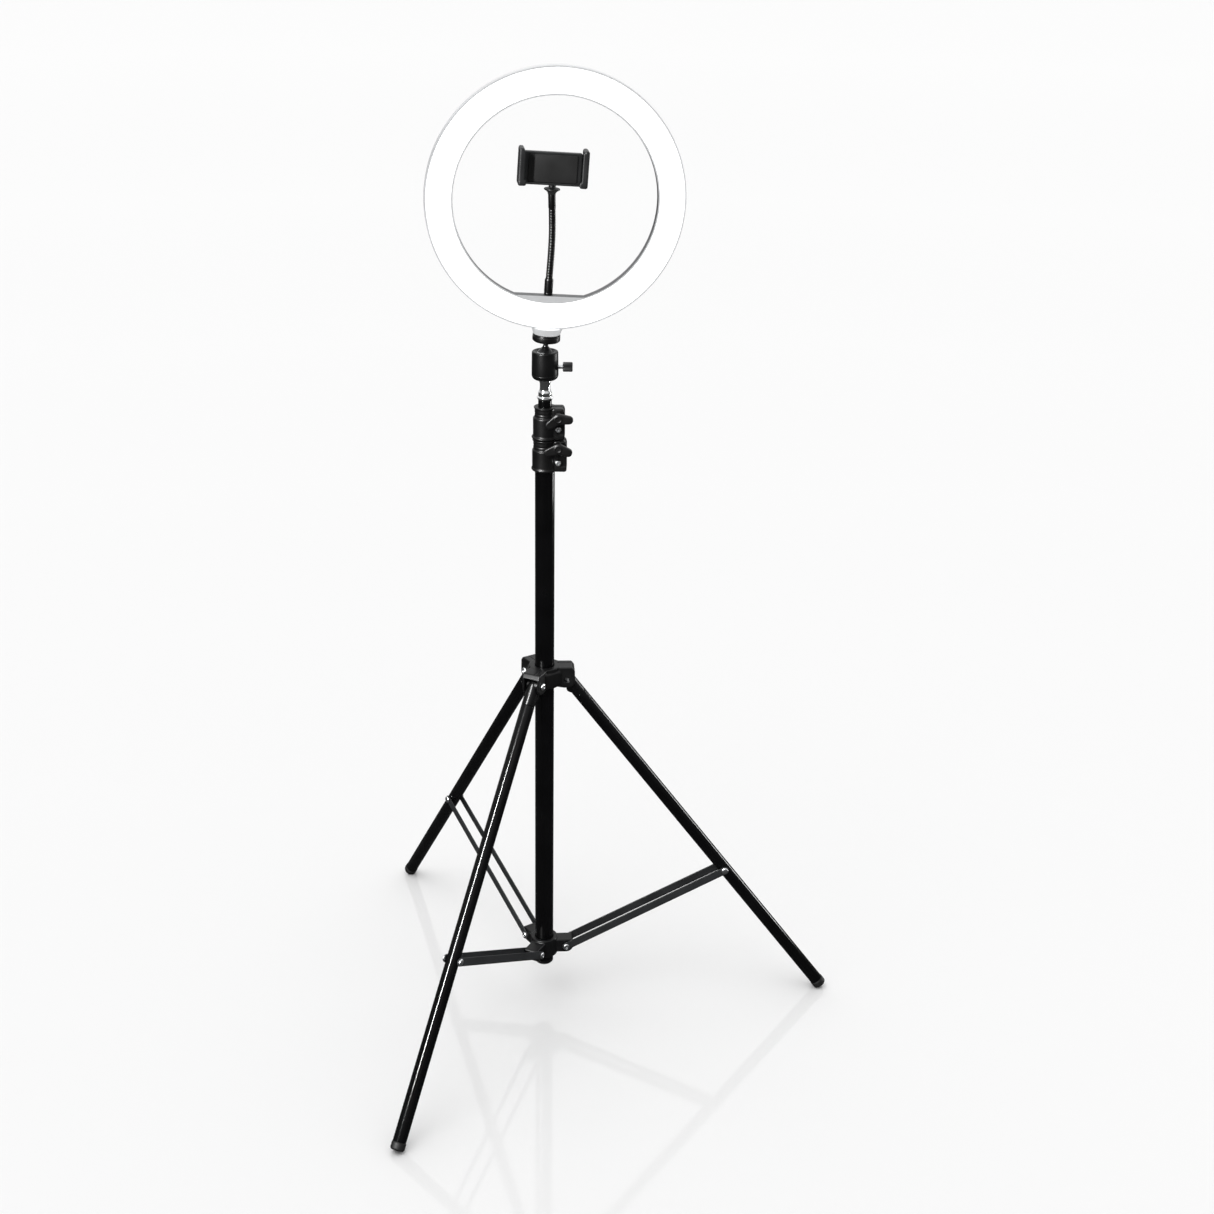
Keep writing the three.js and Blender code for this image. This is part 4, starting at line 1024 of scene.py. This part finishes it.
def jaw_rail(name, side):
    """A jaw: a rounded rail with a hooked lip along its front and a fuller hook at its foot."""
    flip = Matrix.Scale(-1, 4, Vector((1, 0, 0))) if side < 0 else Matrix.Identity(4)
    place = PLATE @ flip
    rail = slab(name, box_outline(JAW_IN, JAW_OUT, JAW_LOW, JAW_HIGH), JAW_FRONT, PLATE_BACK, place,
                edge=1.5, corner=2.4)
    lip = slab("lip", box_outline(JAW_IN - 1.0, JAW_OUT - 1.0, JAW_LOW + 1, JAW_HIGH - 2),
               JAW_FRONT - 0.12, JAW_FRONT + 2.6, place, edge=1.1, corner=1.8)
    hook = slab("hook", box_outline(JAW_IN - 3.0, JAW_OUT - 0.6, JAW_LOW + 0.15, JAW_LOW + 6.3),
                JAW_FRONT - 0.25, JAW_FRONT + 3.4, place, edge=1.4, corner=2.6)
    return fuse(rail, lip, hook)


def build_clamp_body():
    back = slab("phone_clamp_skin",
                box_outline(-PLATE_HALF_X - 1, PLATE_HALF_X, -PLATE_HALF_Z, PLATE_HALF_Z),
                PLATE_FRONT, PLATE_BACK, PLATE, edge=0.9, corner=1.6)
    rim = slab("rim",
               box_outline(-PLATE_HALF_X - 0.7, PLATE_HALF_X - 0.4, JAW_LOW + 0.2, -PLATE_HALF_Z + 1.8),
               PLATE_FRONT - 2.2, PLATE_BACK, PLATE, edge=0.8)
    boss = pin("boss", (0, PLATE_BACK - 1, 0), (0, PLATE_BACK + 3, 0), 4.6, HOLDER, 48, 0.6)
    channel = slab("channel", box_outline(-24, PLATE_HALF_X + 2, -11, 11), PLATE_FRONT + 1.6,
                   PLATE_BACK - 1.6, PLATE, edge=0)
    peg_hole = pin("peg_hole", (0, PLATE_BACK + 0.6, 0), (0, PLATE_BACK + 5, 0), 2.3, HOLDER, 32, 0)
    fuse(back, rim, boss, jaw_rail("jaw", -1))
    carve(back, channel, peg_hole)
    mould(back, 0.38, 3)
    finish(back, HOLDER_PLASTIC, "holder", "plastic_black", "phone_clamp_body")
    pad = slab("phone_pad_skin", box_outline(-24, 24, -13.5, 13.5), PLATE_FRONT - 1.3, PLATE_FRONT - 0.3,
               PLATE, edge=0.35, corner=2.0)
    finish(pad, RUBBER, "holder", "rubber_black", "phone_pad")


def build_sliding_jaw():
    jaw = jaw_rail("sliding_jaw_skin", 1)
    tongue = slab("tongue", box_outline(-8, JAW_IN + 1, -10.7, 10.7), PLATE_FRONT + 1.9, PLATE_BACK - 1.9,
                  PLATE, edge=0.5)
    fuse(jaw, tongue)
    mould(jaw, 0.38, 3)
    finish(jaw, HOLDER_PLASTIC, "jaw", "plastic_black", "sliding_jaw")


# ---------------------------------------------------------------- carried-over CAD nodes
def dress_cad():
    """The spring stays as the CAD made it, with a steel finish and softened edges."""
    spring = frame["nodes"]["clamp_spring"]
    spring.data.materials.clear()
    spring.data.materials.append(STEEL)
    angle = spring.modifiers.new("edge", "BEVEL")
    angle.width = 0.05 * MM


# ---------------------------------------------------------------- floor, light and camera
FLOOR_HALF = 60.0


def build_stage():
    """A white floor that shows dark in reflections, under a soft dome with two strip lamps."""
    mesh = bpy.data.meshes.new("floor")
    corners = [(x, z, 0) for x, z in box_outline(-FLOOR_HALF, FLOOR_HALF, -FLOOR_HALF, FLOOR_HALF)]
    mesh.from_pydata(corners, [], [[0, 1, 2, 3]])
    floor = bpy.data.objects.new("floor", mesh)
    bpy.context.scene.collection.objects.link(floor)
    material, nodes, links, shader = node_tree("pale_floor")
    shader.inputs["Base Color"].default_value = (0.93, 0.93, 0.93, 1)
    shader.inputs["Roughness"].default_value = 0.06
    shader.inputs["Specular IOR Level"].default_value = 0.5
    mesh.materials.append(material)
    path = nodes.new("ShaderNodeLightPath")
    dark = nodes.new("ShaderNodeBsdfDiffuse")
    dark.inputs["Color"].default_value = (0.05, 0.05, 0.05, 1)
    blend = nodes.new("ShaderNodeMixShader")
    links.new(path.outputs["Is Glossy Ray"], blend.inputs["Fac"])
    links.new(shader.outputs["BSDF"], blend.inputs[1])
    links.new(dark.outputs["BSDF"], blend.inputs[2])
    links.new(blend.outputs["Shader"], nodes["Material Output"].inputs["Surface"])

    bpy.context.scene.world = studio_world()
    lamp("overhead", "SUN", (0, 0, 3), (0.7, 0.9, 0), energy=0.55, angle=math.radians(40))
    lamp("left_strip", "AREA", (-1.15, -1.55, 1.5), (-0.076, -0.156, 0.208), streak_only=True,
         energy=240, shape="RECTANGLE", size=0.1, size_y=1.3)
    lamp("right_strip", "AREA", (2.1, 0.85, 0.55), (0.17, 0.01, 0.2), streak_only=True,
         energy=30, shape="RECTANGLE", size=0.25, size_y=1.2)


def studio_world():
    """A soft dome: bright overhead and behind the stand, dim in front and at the sides."""
    world = bpy.data.worlds.new("studio")
    world.use_nodes = True
    nodes, links = world.node_tree.nodes, world.node_tree.links
    coords = nodes.new("ShaderNodeTexCoord")
    split = nodes.new("ShaderNodeSeparateXYZ")
    links.new(coords.outputs["Generated"], split.inputs["Vector"])

    def ramp(axis, start, end, low, high):
        made = nodes.new("ShaderNodeMapRange")
        made.inputs["From Min"].default_value = start
        made.inputs["From Max"].default_value = end
        made.inputs["To Min"].default_value = low
        made.inputs["To Max"].default_value = high
        links.new(split.outputs[axis], made.inputs["Value"])
        return made.outputs["Result"]

    both = nodes.new("ShaderNodeMath")
    both.operation = "MAXIMUM"
    links.new(ramp("Z", 0.25, 0.85, 0.16, 1.12), both.inputs[0])
    links.new(ramp("Y", 0.25, 0.7, 0.16, 1.0), both.inputs[1])
    links.new(both.outputs["Value"], nodes["Background"].inputs["Strength"])
    nodes["Background"].inputs["Color"].default_value = (1, 1, 1, 1)
    return world


def lamp(name, kind, position, target, streak_only=False, **settings):
    """A lamp near the stand, aimed at a point; both are measured from the column's foot."""
    data = bpy.data.lights.new(name, kind)
    for key, value in settings.items():
        setattr(data, key, value)
    made = bpy.data.objects.new(name, data)
    made.visible_diffuse = not streak_only
    made.location = COLUMN + Vector(position)
    made.rotation_euler = (Vector(target) - Vector(position)).to_track_quat("-Z", "Y").to_euler()
    bpy.context.scene.collection.objects.link(made)


CAMERA_FROM_COLUMN = Vector((0.06694, -1.96612, 1.33486))
CAMERA_PITCH = math.radians(23.177)
CAMERA_ROLL = math.radians(-0.854)
CAMERA_LENS = 59.05


def build_camera():
    """A camera at standing height, looking down at the stand with a slight tilt of the frame."""
    right = Vector((1, 0, 0))
    down = Vector((0, -math.sin(CAMERA_PITCH), -math.cos(CAMERA_PITCH)))
    ahead = Vector((0, math.cos(CAMERA_PITCH), -math.sin(CAMERA_PITCH)))
    image_x = right * math.cos(CAMERA_ROLL) + down * math.sin(CAMERA_ROLL)
    image_y = down * math.cos(CAMERA_ROLL) - right * math.sin(CAMERA_ROLL)
    data = bpy.data.cameras.new("camera")
    data.lens = CAMERA_LENS
    data.sensor_width = 36
    camera = bpy.data.objects.new("camera", data)
    turn = Matrix((image_x, -image_y, -ahead)).transposed().to_4x4()
    camera.matrix_world = Matrix.Translation(COLUMN + CAMERA_FROM_COLUMN) @ turn
    bpy.context.scene.collection.objects.link(camera)
    bpy.context.scene.camera = camera


build_column()
build_clamps()
build_crown()
build_hub()
for leg_name in LEGS:
    build_leg(leg_name)
build_head()
build_light()
build_gooseneck()
build_holder()
dress_cad()
build_stage()
build_camera()
bpy.context.scene.view_settings.view_transform = "Standard"
